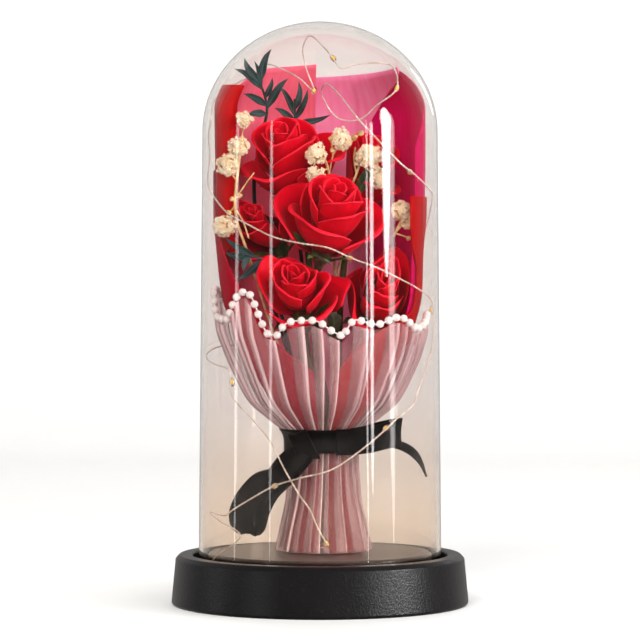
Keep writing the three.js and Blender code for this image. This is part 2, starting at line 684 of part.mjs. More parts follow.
// Places a piece of a rose, given in the rose's own frame, in the bouquet.
function placed(geometry, rose) {
  const frame = roseFrame(rose);
  const position = geometry.getAttribute('position');
  for (let i = 0; i < position.count; i += 1) {
    const point = crowded(new THREE.Vector3().fromBufferAttribute(position, i).applyMatrix4(frame), rose);
    position.setXYZ(i, point.x, point.y, point.z);
  }
  return geometry;
}

// One outer petal: it rises from the calyx, widens, and rolls back at its rim. "layer" runs from 0, the
// innermost, to 1, the outermost and lowest.
function petal(rose, index) {
  const layer = index / (rose.petals - 1);
  const R = rose.radius;
  const middle = rose.turn + 137.5 * index;
  const surface = (u, v) => {
    const t = v * (1 - 0.1 * Math.abs(u) - 0.22 * Math.abs(u) ** 3);
    const curl = Math.max(0, (t - 0.72) / 0.28) ** 2;
    const radius = mix((2.2 + 1.4 * layer) * R / 16.5, R * (0.6 + 0.3 * layer), 1 - (1 - t) ** 2)
      + curl * R * (0.08 + 0.1 * layer);
    const rise = Math.max(0, t) ** 1.15;
    const height = mix(-(0.58 + 0.24 * layer) * R, R * (0.74 - 0.56 * layer), rise) - 0.03 * curl * R;
    const angle = middle + u * PETAL_SPREAD * (0.66 + 0.34 * Math.sin(Math.PI * Math.min(1, 0.9 * t)));
    return new THREE.Vector3(radius * Math.cos(angle * DEGREE), radius * Math.sin(angle * DEGREE), height);
  };
  const grid = [0, 0.25, 0.5, 0.75, 1].map((v) => [-1, -0.5, 0, 0.5, 1].map((u) => [u, v]));
  return sheet(surface, grid, PETAL_THICKNESS);
}

// The heart: petals that are still rolled tight, as a spiral wall on a solid core.
function heart(rose) {
  const scale = rose.radius / 16.5;
  const core = turned([[0, -8], [4.4, -4.2], [6.4, 0.2], [7.4, 5], [0, 6]], 6);
  const surface = (turn, height) => {
    const radius = mix(1.6, 7.4, turn / 2);
    return new THREE.Vector3(radius * Math.cos(2 * Math.PI * turn), radius * Math.sin(2 * Math.PI * turn),
      height - (height > 6 ? turn : 0));
  };
  const turns = Array.from({ length: 10 }, (_, i) => i / 4.5);
  const wallGrid = [4, 13].map((height) => turns.map((turn) => [turn, height]));
  return fuse([core, sheet(surface, wallGrid, 0.8)]).scale(scale, scale, scale);
}

// The stem with its calyx, from the rose's neck down through the tie.
function roseStem(rose) {
  const scale = rose.radius / 16.5;
  const frame = roseFrame(rose);
  const own = (z) => crowded(new THREE.Vector3(0, 0, z * scale).applyMatrix4(frame), rose);
  const low = own(-24);
  const tie = stemSlot(rose.slot, WAIST);
  const elbow = low.clone().lerp(tie, 0.4).multiply(new THREE.Vector3(0.9, 0.9, 1));
  const collar = stemSlot(rose.slot, COLLAR_HEIGHT, COLLAR_RADIUS);
  const shank = stemSlot(rose.slot, 44, 5.4);
  const foot = stemSlot(rose.slot, ROSE_STEM_FOOT, 6.4);
  const course = new THREE.CatmullRomCurve3([low, elbow, collar, tie, shank, foot], false, 'centripetal');
  const points = [own(-8.6), own(-13.9), own(-14.6), own(-16.5), own(-19), ...course.getSpacedPoints(7)];
  const radii = [1.4, 1.4, 3.6, 3, 1.3].map((radius) => radius * scale);
  while (radii.length < points.length) radii.push(STEM_RADIUS);
  return loft(tubeRings(points, radii, 4));
}

function makeRoses() {
  for (const rose of ROSES) {
    addPiece(`${rose.name}_heart`, 'petal', placed(heart(rose), rose));
    for (let i = 0; i < rose.petals; i += 1) {
      addPiece(`${rose.name}_petal_${i + 1}`, 'petal', placed(petal(rose, i), rose));
    }
    addPiece(`${rose.name}_stem`, 'stem', roseStem(rose));
  }
}

// A flat blade along points, with a width at each point: a leaf, or a needle of a sprig.
function blade(points, widths, face, thickness) {
  const places = points.map(vector);
  const rings = places.map((point, i) => {
    const before = places[Math.max(0, i - 1)];
    const after = places[Math.min(places.length - 1, i + 1)];
    const along = after.clone().sub(before).normalize();
    const across = along.clone().cross(vector(face)).normalize();
    const normal = across.clone().cross(along).normalize();
    const half = Math.min(thickness, widths[i]) / 2;
    return [[widths[i] / 2, 0], [0, half], [-widths[i] / 2, 0], [0, -half]]
      .map(([a, b]) => point.clone().addScaledVector(across, a).addScaledVector(normal, b));
  });
  return loft(rings);
}

function lance(base, tip, width, face = [0, -1, 0.2]) {
  const at = (t) => base.map((value, k) => mix(value, tip[k], t));
  return blade([base, at(0.45), tip], [0.5, width, 0.05], face, 0.7);
}

// Three leaves that show between the roses, each with its points and the way its upper side faces.
function makeRoseLeaves() {
  const leaves = [
    [[[0, -8, 130], [-1, -12, 133], [1, -17, 132.6], [3.9, -21, 131]], [0.2, 0.3, 0.93]],
    [[[4, -7, 100], [5, -12, 106], [5.4, -17, 110], [3.5, -23, 113]], [0, 0.5, 1]],
    [[[14.6, -1, 157.6], [16.4, -3.4, 162], [18.8, -4.6, 165.6], [20.6, -4.6, 169]], [0, 0.5, 1]],
  ];
  leaves.forEach(([points, face], i) => {
    addPiece(`rose_leaf_${i + 1}`, 'leaf', blade(points, [0.9, 3.4, 4.6, 0.05], face, 0.7));
  });
}

function twig(points, radius) {
  return loft(tubeRings(points.map(vector), radius, 3));
}

// A stem's course: its own points, then down through its place in the ring of stems to its foot.
function toTie(slot, points, foot) {
  const ring = [stemSlot(slot, COLLAR_HEIGHT, COLLAR_RADIUS), stemSlot(slot, WAIST), stemSlot(slot, foot)];
  return [...points, ...ring.map((point) => point.toArray())];
}

// Sprigs of dark lance leaves, each on one stem that runs behind the roses to the tie.
function makeFoliage() {
  const foot = 30;
  addPiece('foliage_1', 'foliage', fuse([
    twig(toTie(8, [
      [-23.4, 7, 202.3], [-20.7, 8, 193], [-22, 13, 182.6], [-26, 18, 166], [-24, 19, 140], [-15, 15, 104],
    ], foot), 0.7),
    lance([-23.4, 7, 202], [-19.4, 3, 213.8], 3.4),
    lance([-23.4, 7, 202], [-29.2, 5, 211], 3.2),
    lance([-22.6, 7.2, 199.6], [-32.7, 6, 207], 3),
    lance([-20.7, 8, 193], [-29, 7, 197.4], 3.2),
    lance([-21, 9.4, 190], [-27.6, 8, 189.6], 3.2),
    lance([-20.7, 8, 192], [-13.2, 6, 202.6], 3.4),
    lance([-21.6, 7.6, 196], [-18.8, 3, 203], 2.4),
  ]));
  addPiece('foliage_2', 'foliage', fuse([
    twig(toTie(6, [
      [-10, 12, 196], [-9.8, 15, 186], [-10, 20, 170], [-8, 19, 140], [-3, 15, 104],
    ], foot), 0.7),
    lance([-9.9, 14, 189.4], [-15.4, 9, 199.8], 3),
    lance([-9.9, 13.2, 192], [-8.4, 8, 201.6], 3),
    lance([-9.9, 14.4, 188], [-5.3, 9.4, 198.6], 2.8),
    lance([-9.8, 15, 186.4], [2.8, 12, 189.5], 3),
    lance([-9.8, 15, 186.6], [-17, 12.6, 192], 3),
  ]));
  addPiece('foliage_3', 'foliage', fuse([
    twig(toTie(11, [[-29, -20, 134.6], [-22, -17, 133], [-18.4, -9, 127], [-13, -7, 104]], foot), 0.6),
    lance([-26, -18.8, 134], [-35.6, -15.4, 135.4], 3.2),
    lance([-24, -18, 133.6], [-34.6, -15.4, 140.4], 3),
    lance([-22, -17, 133], [-30.6, -21.6, 126], 3),
    lance([-26.8, -19, 134.2], [-28.4, -25, 129], 2.6),
  ]));
}

// A cluster of dried blossom: a ball with an uneven face.
function cluster(centre, radius, detail = 1, stretch = [1, 1, 1]) {
  const ball = new THREE.OctahedronGeometry(radius, detail);
  const position = ball.getAttribute('position');
  for (let i = 0; i < position.count; i += 1) {
    const point = new THREE.Vector3().fromBufferAttribute(position, i);
    const bump = 0.9 + 0.1 * Math.sin(point.x * 7.3 + point.y * 4.1 + point.z * 5.7 + centre[0]);
    point.multiplyScalar(bump).multiply(vector(stretch));
    position.setXYZ(i, point.x, point.y, point.z);
  }
  return ball.translate(...centre);
}

function makeGypsophila() {
  const foot = 32;
  addPiece('gypsophila_left', 'gypsophila', fuse([
    twig(toTie(10, [
      [-29.4, -14, 180], [-31.6, -15, 163], [-32, -15, 150], [-27, -13, 134], [-19, -8, 108],
    ], foot), 0.6),
    twig([[-31.8, -15, 154], [-35, -15.2, 150], [-38, -15.4, 147]], 0.4),
    twig([[-31.6, -15, 163], [-34.6, -14.6, 167]], 0.4),
    twig([[-30.4, -14.4, 174], [-28.8, -14, 186]], 0.4),
    cluster([-31, -14, 176], 3.5),
    cluster([-35, -14.4, 169], 4),
    cluster([-28.6, -14, 186.3], 2.7),
    cluster([-36.4, -15.4, 145.6], 3.6),
    cluster([-33.2, -15, 156], 1.5, 0),
    cluster([-30.5, -15, 157.4], 1.6, 0),
  ]));
  addPiece('gypsophila_centre', 'gypsophila', fuse([
    twig(toTie(1, [
      [1.4, -8.6, 172.8], [3.6, -3, 166], [4.6, 6, 156], [5.4, 5, 140], [6, 2, 120], [5, -1.6, 100],
    ], foot), 0.6),
    twig([[3.6, -3, 166], [5, -5, 173], [8.1, -6, 178]], 0.4),
    twig([[3, -4.7, 168], [-1.6, -10.6, 166.4]], 0.4),
    twig([[5, -5, 173], [4.4, -6.8, 179]], 0.4),
    twig([[8.1, -6, 178], [13.1, -7, 180], [15.8, -7, 181.6]], 0.4),
    cluster([-1.4, -9.6, 173.4], 3.6),
    cluster([-2.2, -11, 166], 2.6),
    cluster([8.1, -7, 179.4], 3.9),
    cluster([4.3, -7, 179.4], 1.4, 0),
    cluster([4.8, -5.4, 175], 1.4, 0),
    cluster([13.1, -7, 180], 1.5, 0),
    cluster([15.8, -7, 181.6], 1.5, 0),
  ]));
  addPiece('gypsophila_right', 'gypsophila', fuse([
    twig(toTie(4, [[16, -6, 172], [14, -4, 166], [10.8, 0.6, 157], [9.4, 9, 140], [4, 6.6, 110]], foot), 0.6),
    cluster([18.6, -7, 172.6], 4, 1, [1.3, 1, 1]),
    cluster([22.4, -9, 164.4], 3.2, 1, [0.9, 1, 1.3]),
    twig([[15.8, -5.8, 171], [19, -7, 167], [22, -9, 164]], 0.4),
  ]));
  addPiece('gypsophila_far_right', 'gypsophila', fuse([
    twig(toTie(2, [
      [31.4, -16, 149], [28.6, -14, 143], [28, -2, 140], [28.4, 9, 134], [28, 14, 120], [24, 8, 100],
    ], foot), 0.6),
    twig([[28.6, -14, 143], [33.8, -16, 141.2]], 0.4),
    cluster([30.8, -16.6, 151.4], 3.6),
    cluster([33.2, -15.6, 147.6], 2.6, 0),
    cluster([33.6, -16, 141], 1.4, 0),
  ]));
}

group.name = 'preserved_rose_bouquet_in_dome';
makeBase();
makeDome();
makePapers();
makeTulle();
makePearls();
makeRibbon();
makeLightWire();
makeRoses();
makeRoseLeaves();
makeFoliage();
makeGypsophila();

export default group;
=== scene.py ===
# A tied bouquet of preserved red roses under a clear dome, on a round black base.
# Sizes are in millimetres, and meshes are made in metres. The bouquet faces -Y.
import math
import random

import bpy
from mathutils import Matrix, Vector, noise


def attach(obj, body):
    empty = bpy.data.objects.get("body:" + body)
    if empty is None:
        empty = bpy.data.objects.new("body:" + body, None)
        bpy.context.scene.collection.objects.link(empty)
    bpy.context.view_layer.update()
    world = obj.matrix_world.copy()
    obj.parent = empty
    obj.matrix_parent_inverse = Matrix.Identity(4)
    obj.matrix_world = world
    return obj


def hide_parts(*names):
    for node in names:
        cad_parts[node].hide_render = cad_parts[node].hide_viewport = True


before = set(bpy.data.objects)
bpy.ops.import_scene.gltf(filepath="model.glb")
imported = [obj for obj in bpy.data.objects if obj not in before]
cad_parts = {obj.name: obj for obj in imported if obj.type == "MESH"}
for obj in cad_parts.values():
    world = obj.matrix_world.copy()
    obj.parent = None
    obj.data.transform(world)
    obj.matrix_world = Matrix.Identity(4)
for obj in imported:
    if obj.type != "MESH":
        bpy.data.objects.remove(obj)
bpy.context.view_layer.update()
scene = bpy.context.scene

# Camera: a long lens straight in front of the object, a little over half its height and nearly level, as a
# product is photographed.
camera = bpy.data.objects.new("camera", bpy.data.cameras.new("camera"))
scene.collection.objects.link(camera)
camera.data.lens = 159.8
camera.data.sensor_width = 36
camera.location = (0, -1.1, 0.122)
camera.rotation_euler = (Vector((0, 0, 0.1097)) - camera.location).to_track_quat("-Z", "Y").to_euler()
scene.camera = camera


# Studio: a pale floor that sweeps up into a backdrop and greys towards the camera, where the dome would
# mirror it, and tall soft lights that draw the upright highlights on the dome. None of it is part of the
# object.
def new_node(tree, kind, settings, sockets):
    made = tree.nodes.new(kind)
    for key, value in settings.items():
        setattr(made, key, value)
    for key, value in sockets.items():
        if isinstance(value, bpy.types.NodeSocket):
            tree.links.new(value, made.inputs[key])
        else:
            made.inputs[key].default_value = value
    return made


class Wire:
    """An output socket that arithmetic can be done on."""

    def __init__(self, finish, socket):
        self.finish = finish
        self.socket = socket

    def maths(self, operation, *values):
        return self.finish.node("ShaderNodeMath", {"operation": operation}, dict(enumerate(values)))

    def __add__(self, other):
        return self.maths("ADD", self, other)

    def __sub__(self, other):
        return self.maths("SUBTRACT", self, other)

    def __rsub__(self, other):
        return self.maths("SUBTRACT", other, self)

    def __mul__(self, other):
        return self.maths("MULTIPLY", self, other)

    def __truediv__(self, other):
        return self.maths("DIVIDE", self, other)

    __radd__ = __add__
    __rmul__ = __mul__

    def of(self, operation, *values):
        return self.maths(operation, self, *values)

    # Runs smoothly from 0 to 1 between two values. The usual pair spreads a cloud over the full range.
    def between(self, low=0.3, high=0.7):
        sockets = {"Value": self, "From Min": low, "From Max": high}
        return self.finish.node("ShaderNodeMapRange", {"interpolation_type": "SMOOTHSTEP"}, sockets)


class Finish:
    """A material and the nodes that are added to it."""

    def __init__(self, name, colour):
        self.material = bpy.data.materials.new(name)
        self.material.use_nodes = True
        self.material.diffuse_color = (*colour, 1)
        self.tree = self.material.node_tree
        self.tree.nodes.clear()

    def node(self, kind, settings, sockets, output=0):
        plain = {key: value.socket if isinstance(value, Wire) else value for key, value in sockets.items()}
        return Wire(self, new_node(self.tree, kind, settings, plain).outputs[output])

    def place(self, output="Object"):
        return self.node("ShaderNodeTexCoord", {}, {}, output)

    # One coordinate of the object, in metres, or of the surface's own map.
    def axis(self, number, output="Object"):
        return self.node("ShaderNodeSeparateXYZ", {}, {"Vector": self.place(output)}, number)

    # A soft cloud in the object, or in its surface's own map where that is stretched.
    def cloud(self, scale, detail=2, stretch=None, output="Object"):
        place = self.place(output)
        if stretch:
            place = self.node("ShaderNodeMapping", {}, {"Vector": place, "Scale": stretch})
        return self.node("ShaderNodeTexNoise", {}, {"Vector": place, "Scale": scale, "Detail": detail})

    def mix(self, factor, first, second):
        first, second = [c if isinstance(c, Wire) else (*c, 1) for c in (first, second)]
        return self.node("ShaderNodeMix", {"data_type": "RGBA"}, {0: factor, 6: first, 7: second}, 2)

    def bump(self, height, strength, distance):
        sockets = {"Height": height, "Strength": strength, "Distance": distance / 1000}
        return self.node("ShaderNodeBump", {}, sockets)

    # An opaque or clear surface. Its further sockets go by their names, with underscores for the spaces.
    def surface(self, colour, roughness, **more):
        sockets = {"Base Color": colour, "Roughness": roughness}
        sockets.update({key.replace("_", " "): value for key, value in more.items()})
        return self.node("ShaderNodeBsdfPrincipled", {}, sockets)

    # A surface that also lets some light through, in one colour.
    def glowing(self, surface, share, colour, **sockets):
        glow = self.node("ShaderNodeBsdfTranslucent", {}, {"Color": (*colour, 1), **sockets})
        return self.blend(share, surface, glow)

    def blend(self, share, first, second):
        return self.node("ShaderNodeMixShader", {}, {0: share, 1: first, 2: second})

    def done(self, shader):
        new_node(self.tree, "ShaderNodeOutputMaterial", {}, {"Surface": shader.socket})
        return self.material

    def solid(self, *values, **more):
        return self.done(self.surface(*values, **more))


# A screen colour of 0 to 255 as the linear light that shaders take.
def tone(*screen):
    return tuple(((c / 255 + 0.055) / 1.055) ** 2.4 if c > 10 else c / 255 / 12.92 for c in screen)


def place_object(name, data):
    made = bpy.data.objects.new(name, data)
    scene.collection.objects.link(made)
    return made


# A piece from points in millimetres.
def piece(name, points, faces, material, coordinates=None):
    mesh = bpy.data.meshes.new(name)
    mesh.from_pydata([tuple(c / 1000 for c in p) for p in points], [], faces)
    if coordinates:
        layer = mesh.uv_layers.new(name="surface")
        for loop in mesh.loops:
            layer.data[loop.index].uv = coordinates[loop.vertex_index]
    mesh.polygons.foreach_set("use_smooth", [True] * len(mesh.polygons))
    mesh.materials.append(material)
    return place_object(name, mesh)


def paper_sweep():
    finish = Finish("pale_sweep", (0.9, 0.9, 0.89))
    pale = finish.mix(finish.cloud(40), (0.9, 0.895, 0.885), (0.92, 0.915, 0.905))
    near = 1 - finish.axis(1).between(-1.1, -0.4)
    return finish.solid(finish.mix(near, pale, (0.17, 0.167, 0.164)), 0.7, Specular_IOR_Level=0.2)


SWEEP_RADIUS = 500
SWEEP_BACK = 900
SWEEP_HALF_WIDTH = 2200
SWEEP_STEPS = 16
sweep_line = [(-2500, 0), (SWEEP_BACK, 0)]
for i in range(1, SWEEP_STEPS + 1):
    turn = i / SWEEP_STEPS * math.pi / 2
    sweep_line.append((SWEEP_BACK + SWEEP_RADIUS * math.sin(turn), SWEEP_RADIUS * (1 - math.cos(turn))))
sweep_line.append((SWEEP_BACK + SWEEP_RADIUS, 2200))
sweep_points = [(x, y, z) for y, z in sweep_line for x in (-SWEEP_HALF_WIDTH, SWEEP_HALF_WIDTH)]
sweep_faces = [(2 * i, 2 * i + 1, 2 * i + 3, 2 * i + 2) for i in range(len(sweep_line) - 1)]
sweep = piece("sweep", sweep_points, sweep_faces, paper_sweep())
sweep.visible_glossy = False

# The room is dim in front and paler behind, so that the dome stays clear and its edges are drawn in grey.
world = bpy.data.worlds.new("studio")
scene.world = world
world.use_nodes = True
sky = world.node_tree
direction = new_node(sky, "ShaderNodeTexCoord", {}, {}).outputs["Generated"]
backward = new_node(sky, "ShaderNodeSeparateXYZ", {}, {"Vector": direction}).outputs["Y"]
shade = new_node(sky, "ShaderNodeMapRange", {}, {
    "Value": backward, "From Min": 0.1, "From Max": 0.85, "To Min": 0.06, "To Max": 0.4,
}).outputs["Result"]
background = sky.nodes["Background"]
sky.links.new(shade, background.inputs["Strength"])
background.inputs["Color"].default_value = (1, 0.97, 0.94, 1)
scene.view_settings.view_transform = "Standard"


# A soft light at an azimuth from the front. Its distance, height and size (width, height) are in metres. The
# dome mirrors only the tall strips.
def studio_light(name, azimuth, distance, height, size, brightness, colour=(1, 1, 1), aim=(0, 0, 0.12)):
    mirrored = name.startswith("strip")
    light = bpy.data.lights.new(name, "AREA")
    light.shape = "ELLIPSE" if mirrored else "RECTANGLE"
    light.size, light.size_y = size
    light.energy = brightness * math.pi * size[0] * size[1]
    light.color = colour
    made = place_object(name, light)
    turn = math.radians(azimuth)
    made.location = (distance * math.sin(turn), -distance * math.cos(turn), height)
    made.rotation_euler = (Vector(aim) - made.location).to_track_quat("-Z", "Y").to_euler()
    made.visible_glossy = mirrored
    made.visible_transmission = mirrored


studio_light("strip_right", 66, 1.0, 0.34, (0.19, 0.4), 16)
studio_light("strip_right_edge", 72, 1.0, 0.2, (0.12, 0.5), 4)
studio_light("strip_right_inner", 50, 1.0, 0.16, (0.06, 0.34), 9)
studio_light("strip_right_thin", 45, 1.0, 0.13, (0.02, 0.44), 9)
studio_light("strip_cap", 150, 1.0, 0.46, (0.06, 0.3), 3)
studio_light("strip_left", -86, 0.9, 0.14, (0.04, 0.5), 4)
studio_light("strip_left_inner", -47, 1.0, 0.14, (0.05, 0.4), 4)
studio_light("key", -18, 1.5, 1.1, (0.8, 0.8), 11, (1, 0.985, 0.96))
studio_light("front", 12, 1.8, 0.45, (1.0, 0.7), 8.5)
studio_light("fill", 48, 1.6, 0.8, (0.9, 0.9), 4)
studio_light("rim", 180, 0.8, 1.4, (0.8, 0.5), 4)
for side, azimuth in (("left", -107), ("right", 107)):
    studio_light(f"backdrop_{side}", azimuth, 1.36, 1.2, (1.2, 0.8), 2.2, aim=(0, 1.4, 0.25))


# Base: one moulded disc of black satin plastic with a flared side, a groove that the dome stands in, and a
# raised plinth. A plate of the same plastic closes its underside.
BASE_RADIUS = 57.5
BASE_TOP_RADIUS = 55.4
BASE_HEIGHT = 19.2
GROOVE_OUTER_RADIUS = 49.3
GROOVE_FLOOR = 13.2
PLINTH_RADIUS = 43.4
PLINTH_TOP = 20.2
COVER_RADIUS = 40
COVER_THICKNESS = 2
COVER_SETBACK = 0.5
GAP = 0.35


def circle(count):
    turns = [2 * math.pi * i / count for i in range(count)]
    return [(math.cos(turn), math.sin(turn)) for turn in turns]


# A round piece turned about Z from an outline of (radius, height) places, which starts and ends on the axis.
def turned(name, outline, sides, material):
    points, rings, faces = [], [], []
    for radius, height in outline:
        if radius == 0:
            rings.append([len(points)] * sides)
            points.append((0, 0, height))
        else:
            rings.append([len(points) + i for i in range(sides)])
            points += [(radius * x, radius * y, height) for x, y in circle(sides)]
    for low, high in zip(rings, rings[1:]):
        for i in range(sides):
            j = (i + 1) % sides
            face = list(dict.fromkeys((low[i], low[j], high[j], high[i])))
            if len(face) > 2:
                faces.append(tuple(face))
    return piece(name, points, faces, material)


def add_bevel(made, width):
    bevel = made.modifiers.new("edge", "BEVEL")
    bevel.width = width / 1000
    bevel.segments = 3
    bevel.limit_method = "ANGLE"
    bevel.angle_limit = math.radians(25)
    bevel.harden_normals = True


# Hands a finished piece over: its slot is not used, and the CAD nodes it stands for are hidden.
def stands_for(made, slot, *nodes):
    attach(made, "root")
    if nodes:
        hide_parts(*nodes)


def black_plastic():
    finish = Finish("black_satin_plastic", (0.03, 0.03, 0.032))
    speckle = finish.cloud(1200, 3)
    wear = finish.cloud(38, 4)
    side = finish.mix(wear, tone(12, 11, 12), tone(24, 22, 24))
    # Painted reflection: the top faces, the plinth's most of all, are painted a lighter brown, as if the
    # satin top mirrored a warm room above it.
    colour = finish.mix(finish.axis(2).between(0.0185, 0.0202) * 0.85, side, tone(58, 49, 45))
    colour = finish.mix(speckle.between(0.6, 0.8) * 0.2, colour, tone(90, 88, 90))
    normal = finish.bump(speckle, 0.9, 0.16)
    return finish.solid(colour, 0.26 + wear * 0.12, Normal=normal, Specular_IOR_Level=0.55)


plastic = black_plastic()
recess = COVER_THICKNESS + COVER_SETBACK + GAP
base = turned("black_base", [
    (0, recess), (COVER_RADIUS + GAP, recess), (COVER_RADIUS + GAP, 0), (BASE_RADIUS - 0.6, 0),
    (BASE_RADIUS, 0.9), (BASE_TOP_RADIUS + 0.5, BASE_HEIGHT - 1.6), (BASE_TOP_RADIUS - 1, BASE_HEIGHT),
    (GROOVE_OUTER_RADIUS + 0.4, BASE_HEIGHT), (GROOVE_OUTER_RADIUS, BASE_HEIGHT - 0.5),
    (GROOVE_OUTER_RADIUS, GROOVE_FLOOR), (PLINTH_RADIUS, GROOVE_FLOOR), (PLINTH_RADIUS, PLINTH_TOP - 1),
    (PLINTH_RADIUS - 1, PLINTH_TOP), (0, PLINTH_TOP),
], 180, plastic)
add_bevel(base, 0.45)
stands_for(base, "black_plastic", "base")

cover = turned("underside_plate", [
    (0, COVER_SETBACK), (COVER_RADIUS - 0.6, COVER_SETBACK), (COVER_RADIUS, COVER_SETBACK + 0.6),
    (COVER_RADIUS, COVER_SETBACK + COVER_THICKNESS), (0, COVER_SETBACK + COVER_THICKNESS),
], 120, plastic)
add_bevel(cover, 0.2)
stands_for(cover, "black_plastic", "base_cover")


# Dome: one thin clear blown cylinder, slightly wider at its open rim, with a rounded top. It stands loose in
# the base's groove.
DOME_RIM_RADIUS = 47
DOME_SHOULDER_RADIUS = 45.5
DOME_SHOULDER = 182.4
DOME_TOP = 225
DOME_WALL = 1.3
CAP_STEPS = 28


def mix(a, b, t):
    return a + (b - a) * t


def dome_inside(height):
    if height <= DOME_SHOULDER:
        down = (DOME_SHOULDER - height) / (DOME_SHOULDER - GROOVE_FLOOR)
        return mix(DOME_SHOULDER_RADIUS, DOME_RIM_RADIUS, down) - DOME_WALL
    rise = (height - DOME_SHOULDER) / (DOME_TOP - DOME_WALL - DOME_SHOULDER)
    return (DOME_SHOULDER_RADIUS - DOME_WALL) * math.sqrt(max(0, 1 - rise * rise))


def dome_cap(radius, top):
    turns = [i / CAP_STEPS * math.pi / 2 for i in range(CAP_STEPS + 1)]
    return [(radius * math.sin(t), DOME_SHOULDER + (top - DOME_SHOULDER) * math.cos(t)) for t in turns]


def clear_glass():
    finish = Finish("clear_glass", (0.95, 0.95, 0.95))
    # The glass's tint is painted: a warm grey that turns peach and darker towards the foot and lighter on the
    # cap stands in for a beige room seen through the dome.
    wall = finish.mix(finish.axis(2).between(0.02, 0.09), (0.855, 0.75, 0.66), (0.875, 0.825, 0.805))
    tint = finish.mix(finish.axis(2).between(0.14, 0.2), wall, (0.9, 0.862, 0.842))
    return finish.solid(tint, 0, IOR=1.46, Transmission_Weight=1)


rim = GROOVE_FLOOR + GAP
wall_heights = [rim + 0.4, rim + 0.8, rim + 2, 30, 60, 90, 120, 150, 175]
inner_wall = [(dome_inside(height), height) for height in wall_heights]
outer_wall = [(radius + DOME_WALL, height) for radius, height in inner_wall]
dome = turned("clear_dome", [
    *dome_cap(DOME_SHOULDER_RADIUS - DOME_WALL, DOME_TOP - DOME_WALL), *reversed(inner_wall),
    (DOME_RIM_RADIUS - DOME_WALL + 0.4, rim), (DOME_RIM_RADIUS - 0.4, rim),
    *outer_wall, *reversed(dome_cap(DOME_SHOULDER_RADIUS, DOME_TOP)),
], 192, clear_glass())
dome.visible_shadow = False
stands_for(dome, "glass", "glass_dome")


# Wrapping sheets: six sheets of thin translucent film paper in reds and pinks, layered round the flowers,
# flared above the tie and gathered into a skirt below it. Each is cut flat and held only by the ribbon.
BOUQUET_X = 1.4
BOUQUET_FOOT = PLINTH_TOP + GAP
WAIST = 63.5
PAPER_THICKNESS = 0.3
PAPER_SPACING = 0.85
PAPER_ROWS = 90
FLARE = (90, 140)
GATHER_FOLDS = 16
GATHER_DEPTH = 0.35
CREASE_DEPTH = 0.5


def smooth_step(low, high, x):
    t = min(1, max(0, (x - low) / (high - low)))
    return t * t * (3 - 2 * t)


# A curve's value a share t of the way between two points, from the slopes that it leaves and arrives with.
def eased(t, start, leave, end, arrive):
    t2, t3 = t * t, t * t * t
    return ((2 * t3 - 3 * t2 + 1) * start + (t3 - 2 * t2 + t) * leave
            + (3 * t2 - 2 * t3) * end + (t3 - t2) * arrive)


# A smooth curve through (x, y) points that never overshoots them.
def smooth_line(points):
    rise = [(b[1] - a[1]) / (b[0] - a[0]) for a, b in zip(points, points[1:])]
    slope = [rise[0]]
    for left, right in zip(rise, rise[1:]):
        slope.append(0 if left * right <= 0 else 2 * left * right / (left + right))
    slope.append(rise[-1])

    def value(x):
        if x <= points[0][0]:
            return points[0][1]
        if x >= points[-1][0]:
            return points[-1][1]
        i = 0
        while x > points[i + 1][0]:
            i += 1
        (x0, y0), (x1, y1) = points[i:i + 2]
        width = x1 - x0
        return eased((x - x0) / width, y0, width * slope[i], y1, width * slope[i + 1])
    return value


# A place at an angle round the bouquet: 0 faces the front, 90 the right, 180 the back.
def around(radius, angle, height, centre=0):
    turn = math.radians(angle)
    return Vector((centre + radius * math.sin(turn), -radius * math.cos(turn), height))


paper_outline = smooth_line([
    (20, 15.4), (40, 12.2), (56, 10.8), (WAIST, 10.6), (71, 14.6), (79, 20.4), (88, 25.8), (98, 31.2),
    (108, 35.8), (120, 39.5), (137, 41.2), (150, 42.3), (DOME_SHOULDER, 42.7),
])


def paper_centre(height):
    return BOUQUET_X * (1 - smooth_step(*FLARE, height))


def outer_paper_radius(height):
    return min(paper_outline(height) - 1.2 * smooth_step(*FLARE, height), dome_inside(height) - 1.3)


# All sheets share the same soft creases, so that they never cut through one another.
def paper_place(angle, height, layer):
    slope = outer_paper_radius(height + 0.5) - outer_paper_radius(height - 0.5)
    radius = outer_paper_radius(height) - layer * PAPER_SPACING * math.hypot(1, slope)
    turn = math.radians(angle)
    gather = GATHER_DEPTH * math.cos(GATHER_FOLDS * turn) * (1 - smooth_step(72, 96, height))
    dent = noise.noise(Vector((3 * math.cos(turn), 3 * math.sin(turn), 0.022 * height)))
    crease = CREASE_DEPTH * dent * smooth_step(70, 110, height)
    return around(radius + gather + crease, angle, height, paper_centre(height))


# Joins a grid of places, row by row, into faces.
def grid_faces(rows, columns, start=0, closed=False):
    faces = []
    for j in range(rows - 1):
        for i in range(columns if closed else columns - 1):
            k = (i + 1) % columns
            row, following = start + j * columns, start + (j + 1) * columns
            faces.append((row + i, row + k, following + k, following + i))
    return faces


def give_thickness(made, thickness, offset=0):
    solid = made.modifiers.new("thickness", "SOLIDIFY")
    solid.thickness = thickness / 1000
    solid.offset = offset
    solid.use_even_offset = False


# The film's colour runs in faint streaks. Below the tie it deepens with painted shade, which stands in for
# the gathered sheets shading one another.
def film_paper(name, shown, shown_deep, let_through):
    colour, deep = tone(*shown), tone(*shown_deep)
    finish = Finish(f"{name}_film_paper", colour)
    streak = finish.cloud(9, 4, (4, 0.8, 1), "UV")
    blotch = finish.cloud(28, 3)
    open_sheet = finish.mix(streak.between(0.3, 0.72) * 0.8 + blotch * 0.15, deep, colour)
    painted_shade_below_tie = 1 - finish.axis(2).between(0.056, 0.085)
    shade = finish.mix(painted_shade_below_tie * 0.75, open_sheet, tuple(0.3 * part for part in deep))
    normal = finish.bump(streak + finish.cloud(1100, 2) * 0.06, 0.2, 0.5)
    surface = finish.surface(shade, 0.42 + blotch * 0.2, Alpha=1 - let_through, Normal=normal,
                             Specular_IOR_Level=0.05)
    return finish.done(finish.glowing(surface, 0.4, colour, Normal=normal))


